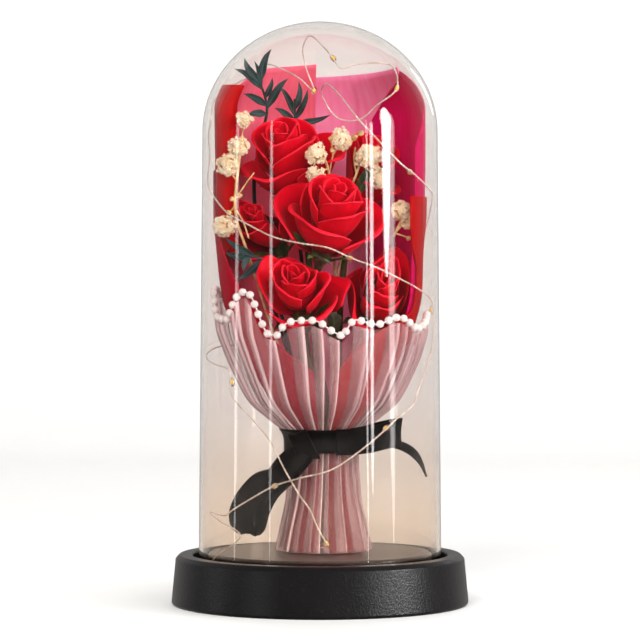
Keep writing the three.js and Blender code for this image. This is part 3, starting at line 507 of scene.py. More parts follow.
papers = {row[0]: film_paper(*row) for row in (
    ("salmon", (255, 144, 170), (252, 112, 140), 0.12),
    ("pink", (255, 174, 206), (252, 132, 182), 0.12),
    ("magenta", (222, 0, 106), (200, 0, 84), 0.07),
    ("red", (206, 2, 8), (176, 0, 4), 0.07),
    ("crimson", (214, 24, 62), (190, 8, 44), 0.1),
)}


def longest(lines):
    return max(sum((b - a).length for a, b in zip(line, line[1:])) for line in lines) / 1000


# A sheet from rows of places, given a thickness. Its longest row and its longest column are measured but not
# used. The cut's area is a little more than the shown one, because the gathers take some of it up. It is
# raised to just over the least share of width times length that a declared sheet may have, which only the
# crimson sheet falls under.
def sheet_piece(name, points, coordinates, rows, material, thickness, slot, node):
    columns = len(points) // rows
    made = piece(name, points, grid_faces(rows, columns), material, coordinates)
    across = longest([points[j * columns:(j + 1) * columns] for j in range(rows)])
    up = longest([points[i::columns] for i in range(columns)])
    give_thickness(made, thickness)
    stands_for(made, slot, node)


def film_sheet(name, colour, node, points, coordinates):
    sheet_piece(name, points, coordinates, PAPER_ROWS, papers[colour], PAPER_THICKNESS, f"{colour}_paper",
                node)


# One sheet between two side edges, given as (height, angle) lines, under a top edge given as an (angle,
# height) line. A place's angle depends on its height and the height on its angle, so both settle in rounds.
def paper_sheet(name, colour, node, layer, left_edge, right_edge, top_edge):
    left, right, top = smooth_line(left_edge), smooth_line(right_edge), smooth_line(top_edge)
    widest = max(p[1] for p in right_edge) - min(p[1] for p in left_edge)
    columns = max(16, round(widest / 2))
    points, coordinates = [], []
    for j in range(PAPER_ROWS):
        up = j / (PAPER_ROWS - 1)
        height = mix(BOUQUET_FOOT, 160, up)
        for i in range(columns):
            for _ in range(4):
                angle = mix(left(height), right(height), i / (columns - 1))
                height = mix(BOUQUET_FOOT, top(angle), up)
            points.append(paper_place(angle, height, layer))
            coordinates.append((angle / 100, height / 100))
    film_sheet(name, colour, node, points, coordinates)


def straight(angle):
    return [(BOUQUET_FOOT, angle), (DOME_SHOULDER, angle)]


paper_sheet("salmon_sheet_back_left", "salmon", "paper_back_left", 3, straight(183), straight(252),
            [(183, 211), (228, 208.6), (252, 200)])
paper_sheet("pink_sheet_back_right", "pink", "paper_back_right", 2,
            [(BOUQUET_FOOT, 148), (186, 150), (196, 140), (209, 98)], straight(206),
            [(98, 208.5), (206, 205.5)])
paper_sheet("magenta_sheet_right", "magenta", "paper_side_right", 1, straight(62), straight(160),
            [(62, 176), (80, 192), (96, 203), (115, 208), (160, 204)])
paper_sheet("red_sheet_front_right", "red", "paper_front_right", 0,
            [(BOUQUET_FOOT, 8), (84, 8), (98, 20), (108, 44), (114, 66), (128, 67), (137, 60), (146, 56),
             (158, 55)], straight(105), [(8, 157), (105, 157)])
paper_sheet("crimson_sheet_front_left", "crimson", "paper_front_left", 0, straight(252), straight(352),
            [(252, 169), (270, 167), (283, 150), (292, 138), (300, 130), (315, 116), (330, 100),
             (352, 90)])


# The sixth sheet's front edge is curled inwards as an open roll that runs out below.
BACK_EDGE_ANGLE = 232
BACK_EDGE_TOP = 202
ROLL_ANGLE = 279
ROLL_RADIUS = 4.2
ROLL_TURN = 265
ROLL_FOOT = 128
ROLL_RUN_OUT = 26
ROLL_TOP = 200
ROLL_COLUMNS = 26
CURL_COLUMNS = 22


def rolled_sheet():
    inward = -around(1, ROLL_ANGLE, 0)
    forward = around(1, ROLL_ANGLE + 90, 0)
    points, coordinates = [], []
    for j in range(PAPER_ROWS):
        up = j / (PAPER_ROWS - 1)
        for i in range(ROLL_COLUMNS):
            share = i / (ROLL_COLUMNS - 1)
            angle = mix(BACK_EDGE_ANGLE, ROLL_ANGLE, share)
            height = mix(BOUQUET_FOOT, mix(BACK_EDGE_TOP, ROLL_TOP, share), up)
            points.append(paper_place(angle, height, 1))
            coordinates.append((angle / 100, height / 100))
        height = mix(BOUQUET_FOOT, ROLL_TOP, up)
        rolled = ROLL_TURN * smooth_step(ROLL_FOOT, ROLL_FOOT + ROLL_RUN_OUT, height) + 2
        edge = paper_place(ROLL_ANGLE, height, 1)
        for i in range(1, CURL_COLUMNS):
            turn = math.radians(rolled) * i / (CURL_COLUMNS - 1)
            points.append(edge + inward * (ROLL_RADIUS * (1 - math.cos(turn)))
                          + forward * (ROLL_RADIUS * math.sin(turn)))
            coordinates.append((ROLL_ANGLE / 100 + turn * ROLL_RADIUS / 75, height / 100))
    film_sheet("red_sheet_rolled_left", "red", "paper_roll_left", points, coordinates)


rolled_sheet()


# Roses: six preserved roses in a soft velvety red. Each has a heart of inner petals that are still rolled
# round one another, three to five outer petals that roll back at their rims, and a green stem with its calyx.
# The petals grow from the calyx, and the stems run down through the tie.
GOLDEN_ANGLE = 137.5
PETAL_SPREAD = 76
PETAL_THICKNESS = 0.36
HEART_PETALS = 9
ROSE_SCALE = 16.5
STEM_RADIUS = 1.1
STEM_SLOTS = 13
STEM_RING = 5.6
COLLAR_HEIGHT = 76
COLLAR_RADIUS = 8.4
ROSE_STEM_FOOT = 24
CROWDING = 10
WALL_CROWDING = 12
COURSE_STEPS = 16


class Rose:
    def __init__(self, name, at, faces, radius, petals, turn, slot):
        self.name, self.at, self.radius, self.petals = name, Vector(at), radius, petals
        self.turn, self.slot = turn, slot
        axis = Vector(faces).normalized()
        down = (Vector((0, 0, -1)) + axis * axis.z).normalized()
        directions = Matrix((down, axis.cross(down), axis)).transposed().to_4x4()
        self.frame = Matrix.Translation(self.at) @ directions


roses = [
    Rose("centre", (3.9, -14, 148), (0.2, -0.6, 0.78), 19.4, 5, 30, 0),
    Rose("lower_left", (-8.3, -18, 120), (-0.1, -0.8, 0.6), 18.6, 4, 100, 12),
    Rose("lower_right", (23, -7, 119), (0.2, -0.84, 0.55), 20.4, 4, 0, 3),
    Rose("upper_left", (-12, 5, 171), (-0.22, -0.58, 0.78), 19.6, 4, 60, 7),
    Rose("far_left", (-20.5, 2, 145.6), (-0.36, -0.7, 0.62), 16, 3, 20, 9),
    Rose("back_right", (17.4, 11, 168), (0.25, -0.5, 0.83), 16.6, 3, 80, 5),
]


# A depth past the margin's start is pressed into the margin. "excess" is how far the deepest point would go.
def pressed(depth, margin, excess):
    return depth / (1 + excess * depth / (margin * (margin + excess)))


# A place in a rose's own frame, where the rose is crowded: it gives way to those before it and to the papers,
# which need more room towards the back, where they lie in layers.
def crowded(rose, spot):
    moved = rose.frame @ spot
    for other in roses[:roses.index(rose)]:
        keep = 1.1 * other.radius + 0.5
        excess = keep + 1.1 * rose.radius - (other.at - rose.at).length
        away = moved - other.at
        depth = keep + CROWDING - away.length
        if excess > 0 and depth > 0:
            moved = other.at + away.normalized() * (keep + CROWDING - pressed(depth, CROWDING, excess))
    centre = paper_centre(moved.z)
    out = Vector((moved.x - centre, moved.y, 0))
    angle = abs(math.degrees(math.atan2(out.x, -out.y)))
    clearance = mix(1.5, 3.6, smooth_step(84, 104, angle))
    room = outer_paper_radius(moved.z) * math.cos(math.radians(10)) - clearance
    depth = out.length - (room - WALL_CROWDING)
    if depth > 0:
        reach = math.hypot(rose.at.x, rose.at.y) + 1.1 * rose.radius
        radius = room - WALL_CROWDING + pressed(depth, WALL_CROWDING, max(1, reach - room + 1))
        out = out.normalized() * radius
        moved = Vector((centre + out.x, out.y, moved.z))
    return moved


# The part of a piece that is gathered so far: its places, faces and surface coordinates.
class Parts:
    def __init__(self):
        self.points, self.faces, self.coordinates = [], [], []

    # Adds faces with their coordinates, or with one pair of coordinates for them all.
    def add(self, points, faces, coordinates=None):
        start = len(self.points)
        self.points += points
        self.faces += [tuple(start + i for i in face) for face in faces]
        if coordinates:
            self.coordinates += coordinates if isinstance(coordinates, list) else [coordinates] * len(points)

    def made(self, name, material):
        return piece(name, self.points, self.faces, material, self.coordinates)


# A petal as a grid: "shape" gives its place from u across (-1 to 1) and t up (0 to 1). Past "lip" of the way
# up it rolls back as a rim. The roll is widest on both sides of the middle, which comes to a point.
def petal_grid(rose, shape, across, up, lip, roll, seed):
    points, coordinates = [], []
    flat = round(up * 0.62) - 1
    for j in range(up):
        turned_back = max(0, (j - flat) / (up - flat - 1))
        for i in range(across):
            u = -1 + 2 * i / (across - 1)
            t = lip * (1 - 0.1 * abs(u) - 0.22 * abs(u) ** 3) * min(j, flat) / flat
            spot = shape(u, t)
            outward = Vector((spot.x, spot.y, 0)).normalized()
            if turned_back:
                along = (spot - shape(u, t - 0.02)).normalized()
                side = along.cross(outward).normalized()
                normal = side.cross(along).normalized()
                if normal.dot(outward) < 0:
                    normal = -normal
                width = roll * rose.radius * (0.45 + 0.75 * math.sin(math.pi * min(1, 1.15 * abs(u))) ** 2)
                bend = math.radians(150) * turned_back
                spot = spot + along * (width * math.sin(bend)) + normal * (width * (1 - math.cos(bend)))
            ruffle = noise.noise(Vector((2.2 * u, seed, rose.turn))) * 0.045 * rose.radius
            spot = spot + outward * (ruffle * smooth_step(0.35, 0.95, t))
            points.append(crowded(rose, spot))
            coordinates.append(((u + 1) / 2, j / (up - 1)))
    return points, coordinates


def red_petal():
    finish = Finish("velvet_red_petal", tone(206, 10, 30))
    up = finish.axis(1, "UV")
    side = (finish.axis(0, "UV") - 0.5).of("ABSOLUTE") * 2
    veins = finish.cloud(7, 3, (9, 0.8, 1), "UV")
    cloudy = finish.cloud(55, 2)
    nap = finish.cloud(2600, 2)
    # Painted highlight: the rolled rims, and less so the side edges, are lightened to pink where light would
    # catch them. Painted shade: each petal deepens to a dark red towards its foot.
    edge = cloudy.between() * 0.35 + 0.2
    rim = up.between(0.62, 0.97) * edge + side.between(0.8, 1) * 0.16
    body = finish.mix(up.between(0.05, 0.55), tone(120, 0, 16), tone(228, 0, 34))
    body = finish.mix(cloudy.between(0.35, 0.7) * 0.5, body, tone(246, 4, 44))
    body = finish.mix(veins.between(0.5, 0.75) * 0.25, body, tone(180, 0, 18))
    normal = finish.bump(veins + nap * 0.12, 0.3, 0.35)
    surface = finish.surface(finish.mix(rim, body, tone(255, 58, 84)), 0.5 + nap * 0.1, Normal=normal,
                             Sheen_Weight=0.12, Sheen_Roughness=0.3, Sheen_Tint=(1, 0.35, 0.42, 1),
                             Specular_IOR_Level=0.22)
    return finish.done(finish.glowing(surface, 0.14, tone(236, 4, 40)))


petal_red = red_petal()


# A place at a radius and height about a flower's own axis.
def polar(radius, degrees, height):
    turn = math.radians(degrees)
    return Vector((radius * math.cos(turn), radius * math.sin(turn), height))


def outer_petal(rose, index):
    layer = index / (rose.petals - 1)
    size = rose.radius
    middle = rose.turn + GOLDEN_ANGLE * index
    across, up = 34, 30

    def shape(u, t):
        curl = max(0, (t - 0.72) / 0.28) ** 2
        root, brim = (2.2 + 1.4 * layer) * size / ROSE_SCALE, size * (0.62 + 0.34 * layer)
        radius = mix(root, brim, 1 - (1 - t) ** 2) + curl * size * (0.1 + 0.13 * layer)
        low, high = -(0.58 + 0.24 * layer) * size, size * (0.74 - 0.56 * layer)
        height = mix(low, high, max(0, t) ** 1.15) - 0.03 * curl * size
        spread = PETAL_SPREAD * (0.66 + 0.34 * math.sin(math.pi * min(1, 0.9 * t)))
        return polar(radius, middle + u * spread, height)

    points, coordinates = petal_grid(rose, shape, across, up, 0.97, 0.022 + 0.02 * layer, index * 3.7)
    faces = grid_faces(up, across)
    made = piece(f"{rose.name}_rose_petal_{index + 1}", points, faces, petal_red, coordinates)
    give_thickness(made, PETAL_THICKNESS)
    stands_for(made, "petal", f"rose_{rose.name}_petal_{index + 1}")


# The heart: petals nested from a tight bud outwards, on a solid core that is an outline of (radius, height).
heart_core = [(0.03, -0.44), (0.2, -0.3), (0.34, -0.12), (0.4, 0.08), (0.41, 0.26), (0.3, 0.36), (0.03, 0.38)]


def rose_heart(rose):
    size = rose.radius
    across, up = 26, 20
    heart = Parts()
    for k in range(HEART_PETALS):
        share = k / (HEART_PETALS - 1)
        rim_radius = size * mix(0.075, 0.5, share ** 0.9)
        rim_height = size * (0.8 + 0.07 * math.sin(math.pi * min(1, 0.25 + share)))
        half_span = mix(118, 74, min(1, 2 * share))
        middle = rose.turn - GOLDEN_ANGLE * (k + 1)

        def shape(u, t):
            swell = 1 - (1 - t) ** 2.2
            radius = mix(0.45, 1, swell) * rim_radius * (1 + 0.13 * u) + 0.02 * size * max(0, t - 0.7)
            return polar(radius, middle + u * half_span, mix(-0.2 * size, rim_height, t))

        points, coordinates = petal_grid(rose, shape, across, up, 0.98, 0.012 + 0.014 * share, 20 + k)
        # The heart's petals take the petal colour from a quarter of the way up, so they get less of the
        # painted shade at the foot.
        heart.add(points, grid_faces(up, across), [(u, 0.25 + 0.75 * v) for u, v in coordinates])
    ring = circle(24)
    core = [Vector((radius * size * x, radius * size * y, height * size))
            for radius, height in heart_core for x, y in ring]
    core_faces = grid_faces(len(heart_core), len(ring), closed=True)
    # The core takes the colour at a petal's foot, which is its deepest painted shade.
    heart.add([crowded(rose, spot) for spot in core], core_faces, (0.5, 0.05))
    made = heart.made(f"{rose.name}_rose_heart", petal_red)
    give_thickness(made, PETAL_THICKNESS * 0.8)
    stands_for(made, "petal", f"rose_{rose.name}_heart")


def stem_slot(slot, height, radius=STEM_RING):
    return around(radius, slot * 360 / STEM_SLOTS, height, BOUQUET_X)


# Evenly spaced places on a smooth curve through points, with each place's share of the way between them.
def smooth_course(points, count, closed=False):
    points = [Vector(p) for p in points]
    last = len(points)
    if closed:
        ends = [points[-1], *points, points[0], points[1]]
    else:
        ends = [2 * points[0] - points[1], *points, 2 * points[-1] - points[-2]]
        last -= 1
    dense = []
    for k in range(last):
        a, b, c, d = ends[k:k + 4]
        gaps = [max(1e-4, math.sqrt((q - p).length)) for p, q in ((a, b), (b, c), (c, d))]
        leave = ((b - a) / gaps[0] - (c - a) / (gaps[0] + gaps[1]) + (c - b) / gaps[1]) * gaps[1]
        arrive = ((c - b) / gaps[1] - (d - b) / (gaps[1] + gaps[2]) + (d - c) / gaps[2]) * gaps[1]
        for step in range(COURSE_STEPS):
            share = step / COURSE_STEPS
            dense.append((eased(share, b, leave, c, arrive), k + share))
    dense.append((points[0] if closed else points[-1], last))
    far = [0]
    for (p, _), (q, _) in zip(dense, dense[1:]):
        far.append(far[-1] + (q - p).length)
    course, i = [], 0
    for n in range(count):
        wanted = far[-1] * n / (count if closed else count - 1)
        while i < len(far) - 2 and far[i + 1] < wanted:
            i += 1
        t = (wanted - far[i]) / max(1e-9, far[i + 1] - far[i])
        course.append((dense[i][0].lerp(dense[i + 1][0], t), mix(dense[i][1], dense[i + 1][1], t)))
    return course


def smooth_run(points, count, closed=False):
    return [spot for spot, _ in smooth_course(points, count, closed)]


# The direction in which a line runs at one of its places.
def heading(line, i):
    return (line[min(i + 1, len(line) - 1)] - line[max(0, i - 1)]).normalized()


# Goes along a line with two directions across it that never twist about it.
def carried(points):
    side = Vector((0.31, 0.77, 0.56))
    for i, point in enumerate(points):
        along = heading(points, i)
        side = (side - along * side.dot(along)).normalized()
        yield point, side, along.cross(side)


# A round tube with closed ends along points: its places and faces.
def tube(points, radii, sides):
    places = []
    for (point, side, across), radius in zip(carried(points), radii):
        places += [point + side * (radius * x) + across * (radius * y) for x, y in circle(sides)]
    faces = grid_faces(len(points), sides, closed=True)
    faces.append(tuple(reversed(range(sides))))
    faces.append(tuple(range(len(places) - sides, len(places))))
    return places, faces


# A leaf blade folded along its middle: from base to tip through points, as wide as "widths" there.
def leaf_blade(points, widths, face, fold, across, up, serration=0):
    course = smooth_course(points, up)
    spots = [spot for spot, _ in course]
    width_line = smooth_line(list(enumerate(widths)))
    places, coordinates = [], []
    for j, (spot, k) in enumerate(course):
        along = heading(spots, j)
        side = along.cross(Vector(face)).normalized()
        normal = side.cross(along).normalized()
        half = width_line(k) / 2
        for i in range(across):
            u = -1 + 2 * i / (across - 1)
            tooth = 1 + serration * (j % 2) * smooth_step(0.7, 1, abs(u))
            places.append(spot + side * (u * half * tooth) + normal * (fold * abs(u) * half))
            coordinates.append(((u + 1) / 2, j / (up - 1)))
    return places, grid_faces(up, across), coordinates


def green_stem():
    finish = Finish("green_stem", tone(74, 86, 46))
    fibres = finish.cloud(420, 2, (1, 1, 0.12))
    colour = finish.mix(finish.cloud(120, 3).between(), tone(46, 58, 30), tone(96, 108, 60))
    colour = finish.mix(fibres.between(0.5, 0.75) * 0.4, colour, tone(120, 118, 74))
    return finish.solid(colour, 0.6, Normal=finish.bump(fibres, 0.4, 0.25), Specular_IOR_Level=0.3)


stem_green = green_stem()
calyx = [(-8.6, 1.6), (-11, 2.3), (-13.2, 3.3), (-14.2, 3.5), (-15.2, 3.3), (-16.5, 2.5), (-18, 1.6),
         (-19.5, 1.2), (-21.5, 1)]
sepal = [(2.6, -14.4), (5.4, -12.2), (8.4, -9.6), (10.6, -8.4), (12.6, -8.8)]
sepal_widths = [1.6, 3.4, 3, 1.7]


def rose_stem(rose):
    scale = rose.radius / ROSE_SCALE

    def own(height):
        return crowded(rose, Vector((0, 0, height * scale)))

    low = own(-24)
    tie = stem_slot(rose.slot, WAIST)
    elbow = low.lerp(tie, 0.4)
    elbow = Vector((elbow.x * 0.9, elbow.y * 0.9, elbow.z))
    collar = stem_slot(rose.slot, COLLAR_HEIGHT, COLLAR_RADIUS)
    shank, foot = stem_slot(rose.slot, 44, 5.4), stem_slot(rose.slot, ROSE_STEM_FOOT, 6.4)
    run = smooth_run([low, elbow, collar, tie, shank, foot], 44)
    points = [own(height) for height, _ in calyx] + run
    stem = Parts()
    radii = [radius * scale for _, radius in calyx] + [STEM_RADIUS] * len(run)
    stem.add(*tube(points, radii, 12), (0.5, 0.2))
    for k in range(5):
        out = polar(1, 72 * k + rose.turn, 0)
        course = [crowded(rose, (out * reach + Vector((0, 0, height))) * scale) for reach, height in sepal]
        face = rose.frame.to_3x3() @ (out * 0.6 - Vector((0, 0, 1)))
        stem.add(*leaf_blade(course, [width * scale for width in sepal_widths] + [0.1], face, 0.25, 7, 12))
    made = stem.made(f"{rose.name}_rose_stem", stem_green)
    give_thickness(made, 0.16, 1)
    stands_for(made, "stem", f"rose_{rose.name}_stem")


for rose in roses:
    rose_heart(rose)
    for index in range(rose.petals):
        outer_petal(rose, index)
    rose_stem(rose)


# Rose leaves: three preserved leaves with toothed edges and a sunk midrib, which show dark green between the
# roses they grow beside.
LEAF_WIDTHS = [0.9, 4.4, 5.2, 0.1]


def dried_green(name, dark, light, vein):
    finish = Finish(name, light)
    up = finish.axis(1, "UV")
    side = (finish.axis(0, "UV") - 0.5).of("ABSOLUTE") * 2
    midrib = 1 - side.between(0.02, 0.16)
    mottle = finish.cloud(160, 3)
    ribs = (up * 26 - side * 5).of("SINE").between(0.82, 1) * vein
    colour = finish.mix(mottle.between(), dark, light)
    colour = finish.mix(midrib * 0.45 + ribs * 0.35, colour, tuple(min(1, 2.1 * c + 0.01) for c in light))
    normal = finish.bump(mottle * 0.3 - midrib * 0.8 - ribs * 0.4, 0.4, 0.25)
    return finish.solid(colour, 0.5 + mottle * 0.2, Normal=normal, Sheen_Weight=0.2, Specular_IOR_Level=0.3)


leaf_green = dried_green("dark_rose_leaf", tone(36, 48, 26), tone(70, 84, 44), 1)
leaf_rows = [
    ([(0, -8, 130), (-1, -12, 133), (1, -17, 132.6), (3.9, -21, 131)], (0.2, 0.3, 0.93)),
    ([(4, -7, 100), (5, -12, 106), (5.4, -17, 110), (3.5, -23, 113)], (0, 0.5, 1)),
    ([(14.6, -1, 157.6), (16.4, -3.4, 162), (18.8, -4.6, 165.6), (20.6, -4.6, 169)], (0, 0.5, 1)),
]
for number, (course, face) in enumerate(leaf_rows, 1):
    points, faces, coordinates = leaf_blade(course, LEAF_WIDTHS, face, 0.3, 13, 24, serration=0.12)
    leaf = piece(f"toothed_leaf_{number}", points, faces, leaf_green, coordinates)
    give_thickness(leaf, 0.25)
    stands_for(leaf, "leaf", f"rose_leaf_{number}")


# Dark foliage: three sprigs of narrow lance leaves, dyed a blue-black green. Each leaf is folded along its
# middle, and grows from one thin stem that runs behind the roses to the tie.
LANCE_GROWTH = 1.1
lance_green = dried_green("blue_black_foliage", tone(24, 38, 38), tone(52, 76, 74), 0)


def to_tie(slot, points, foot):
    collar = stem_slot(slot, COLLAR_HEIGHT, COLLAR_RADIUS)
    return [*points, collar, stem_slot(slot, WAIST), stem_slot(slot, foot)]


# A lance leaf is given by its base, its tip and its width, and bows a little to one side.
def sprig(name, node, slot, stem_radius, course, lances, seed):
    pick = random.Random(seed)
    run = smooth_run(to_tie(slot, course, 30), 60)
    green = Parts()
    radii = [stem_radius * mix(0.5, 1, min(1, i / 10)) for i in range(len(run))]
    green.add(*tube(run, radii, 7), (0.3, 0.3))
    for base, tip, width in lances:
        base = Vector(base)
        tip = base + (Vector(tip) - base) * LANCE_GROWTH
        reach = tip - base
        length = reach.length
        sideways = Vector((pick.uniform(-1, 1), pick.uniform(-0.4, 0.8), pick.uniform(-1, 1)))
        bow = (sideways - reach * sideways.dot(reach) / length ** 2).normalized() * length * 0.07
        line = [base, base.lerp(tip, 0.35) + bow * 0.8, base.lerp(tip, 0.7) + bow, tip]
        face = (pick.uniform(-0.5, 0.5), -1, pick.uniform(-0.1, 0.5))
        green.add(*leaf_blade(line, [0.6, width * 0.95, width * 0.68, 0.05], face, 0.42, 7, 20))
    made = green.made(name, lance_green)
    give_thickness(made, 0.2)
    stands_for(made, "foliage", node)


sprig("tall_sprig", "foliage_1", 8, 0.7,
      [(-23.4, 7, 202.3), (-20.7, 8, 193), (-22.6, 15, 182.6), (-26, 19, 166), (-24, 19, 140),
       (-15, 15, 104)], [
          ((-23.4, 7, 202), (-19.4, 3, 213.8), 3.4), ((-23.4, 7, 202), (-29.2, 5, 211), 3.2),
          ((-22.6, 7.2, 199.6), (-32.7, 6, 207), 3), ((-20.7, 8, 193), (-29, 7, 197.4), 3.2),
          ((-21, 9.4, 190), (-27.6, 8, 189.6), 3.2), ((-20.7, 8, 192), (-13.2, 6, 202.6), 3.4),
          ((-21.6, 7.6, 196), (-18.8, 3, 203), 2.4), ((-22.8, 7, 200), (-25.4, 4.5, 209.5), 2.2),
      ], 3)
sprig("middle_sprig", "foliage_2", 6, 0.7,
      [(-10, 12, 196), (-9.8, 15, 186), (-10, 20, 170), (-8, 19, 140), (-3, 15, 104)], [
          ((-9.9, 14, 189.4), (-15.4, 9, 199.8), 3), ((-9.9, 13.2, 192), (-8.4, 8, 201.6), 3),
          ((-9.9, 14.4, 188), (-5.3, 9.4, 198.6), 2.8), ((-9.8, 15, 186.4), (2.8, 12, 189.5), 3),
          ((-9.8, 15, 186.6), (-17, 12.6, 192), 3),
      ], 5)
sprig("low_sprig", "foliage_3", 11, 0.6,
      [(-29, -20, 134.6), (-22, -17, 133), (-18.4, -9, 127), (-13, -7, 104)], [
          ((-26, -18.8, 134), (-34.7, -15.8, 135.3), 3.2), ((-24, -18, 133.6), (-34.6, -15.4, 140.4), 3),
          ((-22, -17, 133), (-30.6, -21.6, 126), 3), ((-26.8, -19, 134.2), (-28.4, -25, 129), 2.6),
      ], 8)


# Baby's breath: four dried sprays, with forked straw-coloured twigs, round buds, and clusters of tiny cream
# blossoms. Geometry Nodes scatter the blossoms over each cluster.
BLOSSOM_SIZE = 1.15
BLOSSOM_CROWDING = 0.75
BALL_SIDES = 14
BALL_RINGS = 9


def cream_blossom():
    finish = Finish("cream_blossom", tone(240, 224, 178))
    fine = finish.cloud(1400, 3)
    colour = finish.mix(finish.cloud(260, 3).between(), tone(255, 238, 206), tone(255, 252, 238))
    colour = finish.mix(fine.between(0.62, 0.82) * 0.3, colour, tone(232, 196, 136))
    surface = finish.surface(colour, 0.8, Normal=finish.bump(fine, 0.5, 0.3), Specular_IOR_Level=0.2)
    return finish.done(finish.glowing(surface, 0.4, tone(255, 244, 222)))


blossom_cream = cream_blossom()


# A node tree built in the script, with named inputs beside the geometry.
class Recipe:
    def __init__(self, name, inputs):
        self.tree = bpy.data.node_groups.new(name, "GeometryNodeTree")
        interface = self.tree.interface
        interface.new_socket("Geometry", in_out="INPUT", socket_type="NodeSocketGeometry")
        self.sockets = {}
        for label, kind in inputs.items():
            socket = interface.new_socket(label, in_out="INPUT", socket_type=f"NodeSocket{kind}")
            self.sockets[label] = socket.identifier
        interface.new_socket("Geometry", in_out="OUTPUT", socket_type="NodeSocketGeometry")
        self.given = self.tree.nodes.new("NodeGroupInput").outputs

    def add(self, kind, sockets, output=0, **settings):
        return new_node(self.tree, kind, settings, sockets).outputs[output]

    def finish(self, geometry, material):
        real = self.add("GeometryNodeRealizeInstances", {"Geometry": geometry})
        coated = self.add("GeometryNodeSetMaterial", {"Geometry": real, "Material": material})
        smooth = self.add("GeometryNodeSetShadeSmooth", {"Geometry": coated})
        self.tree.links.new(smooth, self.tree.nodes.new("NodeGroupOutput").inputs[0])

    # Runs the recipe on an object, and returns its result as a plain mesh object.
    def run(self, made, name, material, **values):
        modifier = made.modifiers.new("recipe", "NODES")
        modifier.node_group = self.tree
        for label, value in values.items():
            modifier[self.sockets[label]] = value
        bpy.context.view_layer.update()
        mesh = bpy.data.meshes.new_from_object(made.evaluated_get(bpy.context.evaluated_depsgraph_get()))
        mesh.name = name
        mesh.materials.clear()
        mesh.materials.append(material)
        bpy.data.objects.remove(made)
        return place_object(name, mesh)


def join(name, pieces):
    with bpy.context.temp_override(active_object=pieces[0], selected_editable_objects=pieces):
        bpy.ops.object.join()
    pieces[0].name = name
    return pieces[0]


# One blossom: two whorls of notched petals that flare up from a point, in a few dozen faces.
def blossom_piece():
    petals = Parts()
    for k in range(11):
        outer = k < 6
        turn = math.radians(60 * k if outer else 72 * k + 20)
        rise = math.radians(28 if outer else 62)
        length = 1 if outer else 0.85
        out = Vector((math.cos(turn) * math.cos(rise), math.sin(turn) * math.cos(rise), math.sin(rise)))
        side = Vector((-math.sin(turn), math.cos(turn), 0))
        droop = Vector((0, 0, -0.2 if outer else 0.05))
        rows = []
        for share, width in ((0, 0.08), (0.6, 0.3), (1, 0.38)):
            middle = out * (length * (share - (0.14 if share == 1 else 0))) + droop * share * share
            edge = out * (length * share) + droop * share * share + Vector((0, 0, 0.12 * share))
            rows += [edge - side * width, middle, edge + side * width]
        petals.add(rows, grid_faces(3, 3))
    return petals.made("blossom", blossom_cream)


scatter = Recipe("blossom_scatter", {"Blossom": "Object", "Size": "Float", "Spacing": "Float", "Seed": "Int"})
spots = scatter.add("GeometryNodeDistributePointsOnFaces", {
    "Mesh": scatter.given["Geometry"], "Distance Min": scatter.given["Spacing"], "Density Max": 9e6,
    "Seed": scatter.given["Seed"],
}, distribute_method="POISSON")
outward, turned_out = spots.node.outputs["Normal"], spots.node.outputs["Rotation"]
shape_of = scatter.add("GeometryNodeObjectInfo", {"Object": scatter.given["Blossom"]}, "Geometry")
grow = scatter.add("FunctionNodeRandomValue", {2: 0.6, 3: 1.3, "Seed": 4}, 1, data_type="FLOAT")
sized = scatter.add("ShaderNodeMath", {0: grow, 1: scatter.given["Size"]}, operation="MULTIPLY")
spin = scatter.add("FunctionNodeRandomValue", {0: (-0.5, -0.5, 0), 1: (0.5, 0.5, 6.28), "Seed": 9},
                   data_type="FLOAT_VECTOR")
tilt = scatter.add("FunctionNodeRotateRotation", {"Rotation": turned_out, "Rotate By": spin},
                   rotation_space="LOCAL")
reach = scatter.add("FunctionNodeRandomValue", {2: -0.0004, 3: 0.001, "Seed": 6}, 1, data_type="FLOAT")
shift = scatter.add("ShaderNodeVectorMath", {0: outward, "Scale": reach}, operation="SCALE")
loose = scatter.add("GeometryNodeSetPosition", {"Geometry": spots, "Offset": shift})
blossoms = scatter.add("GeometryNodeInstanceOnPoints", {
    "Points": loose, "Instance": shape_of, "Rotation": tilt, "Scale": sized,
})
scatter.finish(blossoms, blossom_cream)
blossom = blossom_piece()


# A ball for a cluster or a bud, uneven all over.
def ball(centre, radius, stretch):
    centre = Vector(centre)
    points = [centre + Vector((0, 0, -radius * stretch[2]))]
    for j in range(1, BALL_RINGS):
        tilt = math.pi * j / BALL_RINGS
        for x, y in circle(BALL_SIDES):
            spot = Vector((math.sin(tilt) * x, math.sin(tilt) * y, -math.cos(tilt)))
            bump = 1 + 0.42 * noise.noise(spot * 1.5 + centre)
            points.append(centre + Vector([c * radius * bump * s for c, s in zip(spot, stretch)]))
    top = len(points)
    points.append(centre + Vector((0, 0, radius * stretch[2])))
    faces = []
    for i in range(BALL_SIDES):
        k = (i + 1) % BALL_SIDES
        faces += [(0, 1 + k, 1 + i), (top, top - BALL_SIDES + i, top - BALL_SIDES + k)]
    return points, faces + grid_faces(BALL_RINGS - 1, BALL_SIDES, 1, closed=True)


# A finish of two tones that one cloud mixes. It also bumps the surface, unless a finer cloud does, and it may
# spread the roughness.
def mottled(name, shown, cloud, low, high, roughness, bump, spread=0, fine=None, **more):
    finish = Finish(name, tone(*shown))
    tint = finish.cloud(*cloud)
    colour = finish.mix(tint.between(), low, high)
    normal = finish.bump(finish.cloud(*fine) if fine else tint, *bump)
    roughness = roughness + tint * spread if spread else roughness
    return finish.solid(colour, roughness, Normal=normal, **more)


EVEN = (1, 1, 1)
straw_twig = mottled("straw_twig", (206, 164, 112), (300, 3), tone(176, 132, 84), tone(232, 200, 148),
                     0.65, (0.3, 0.2))


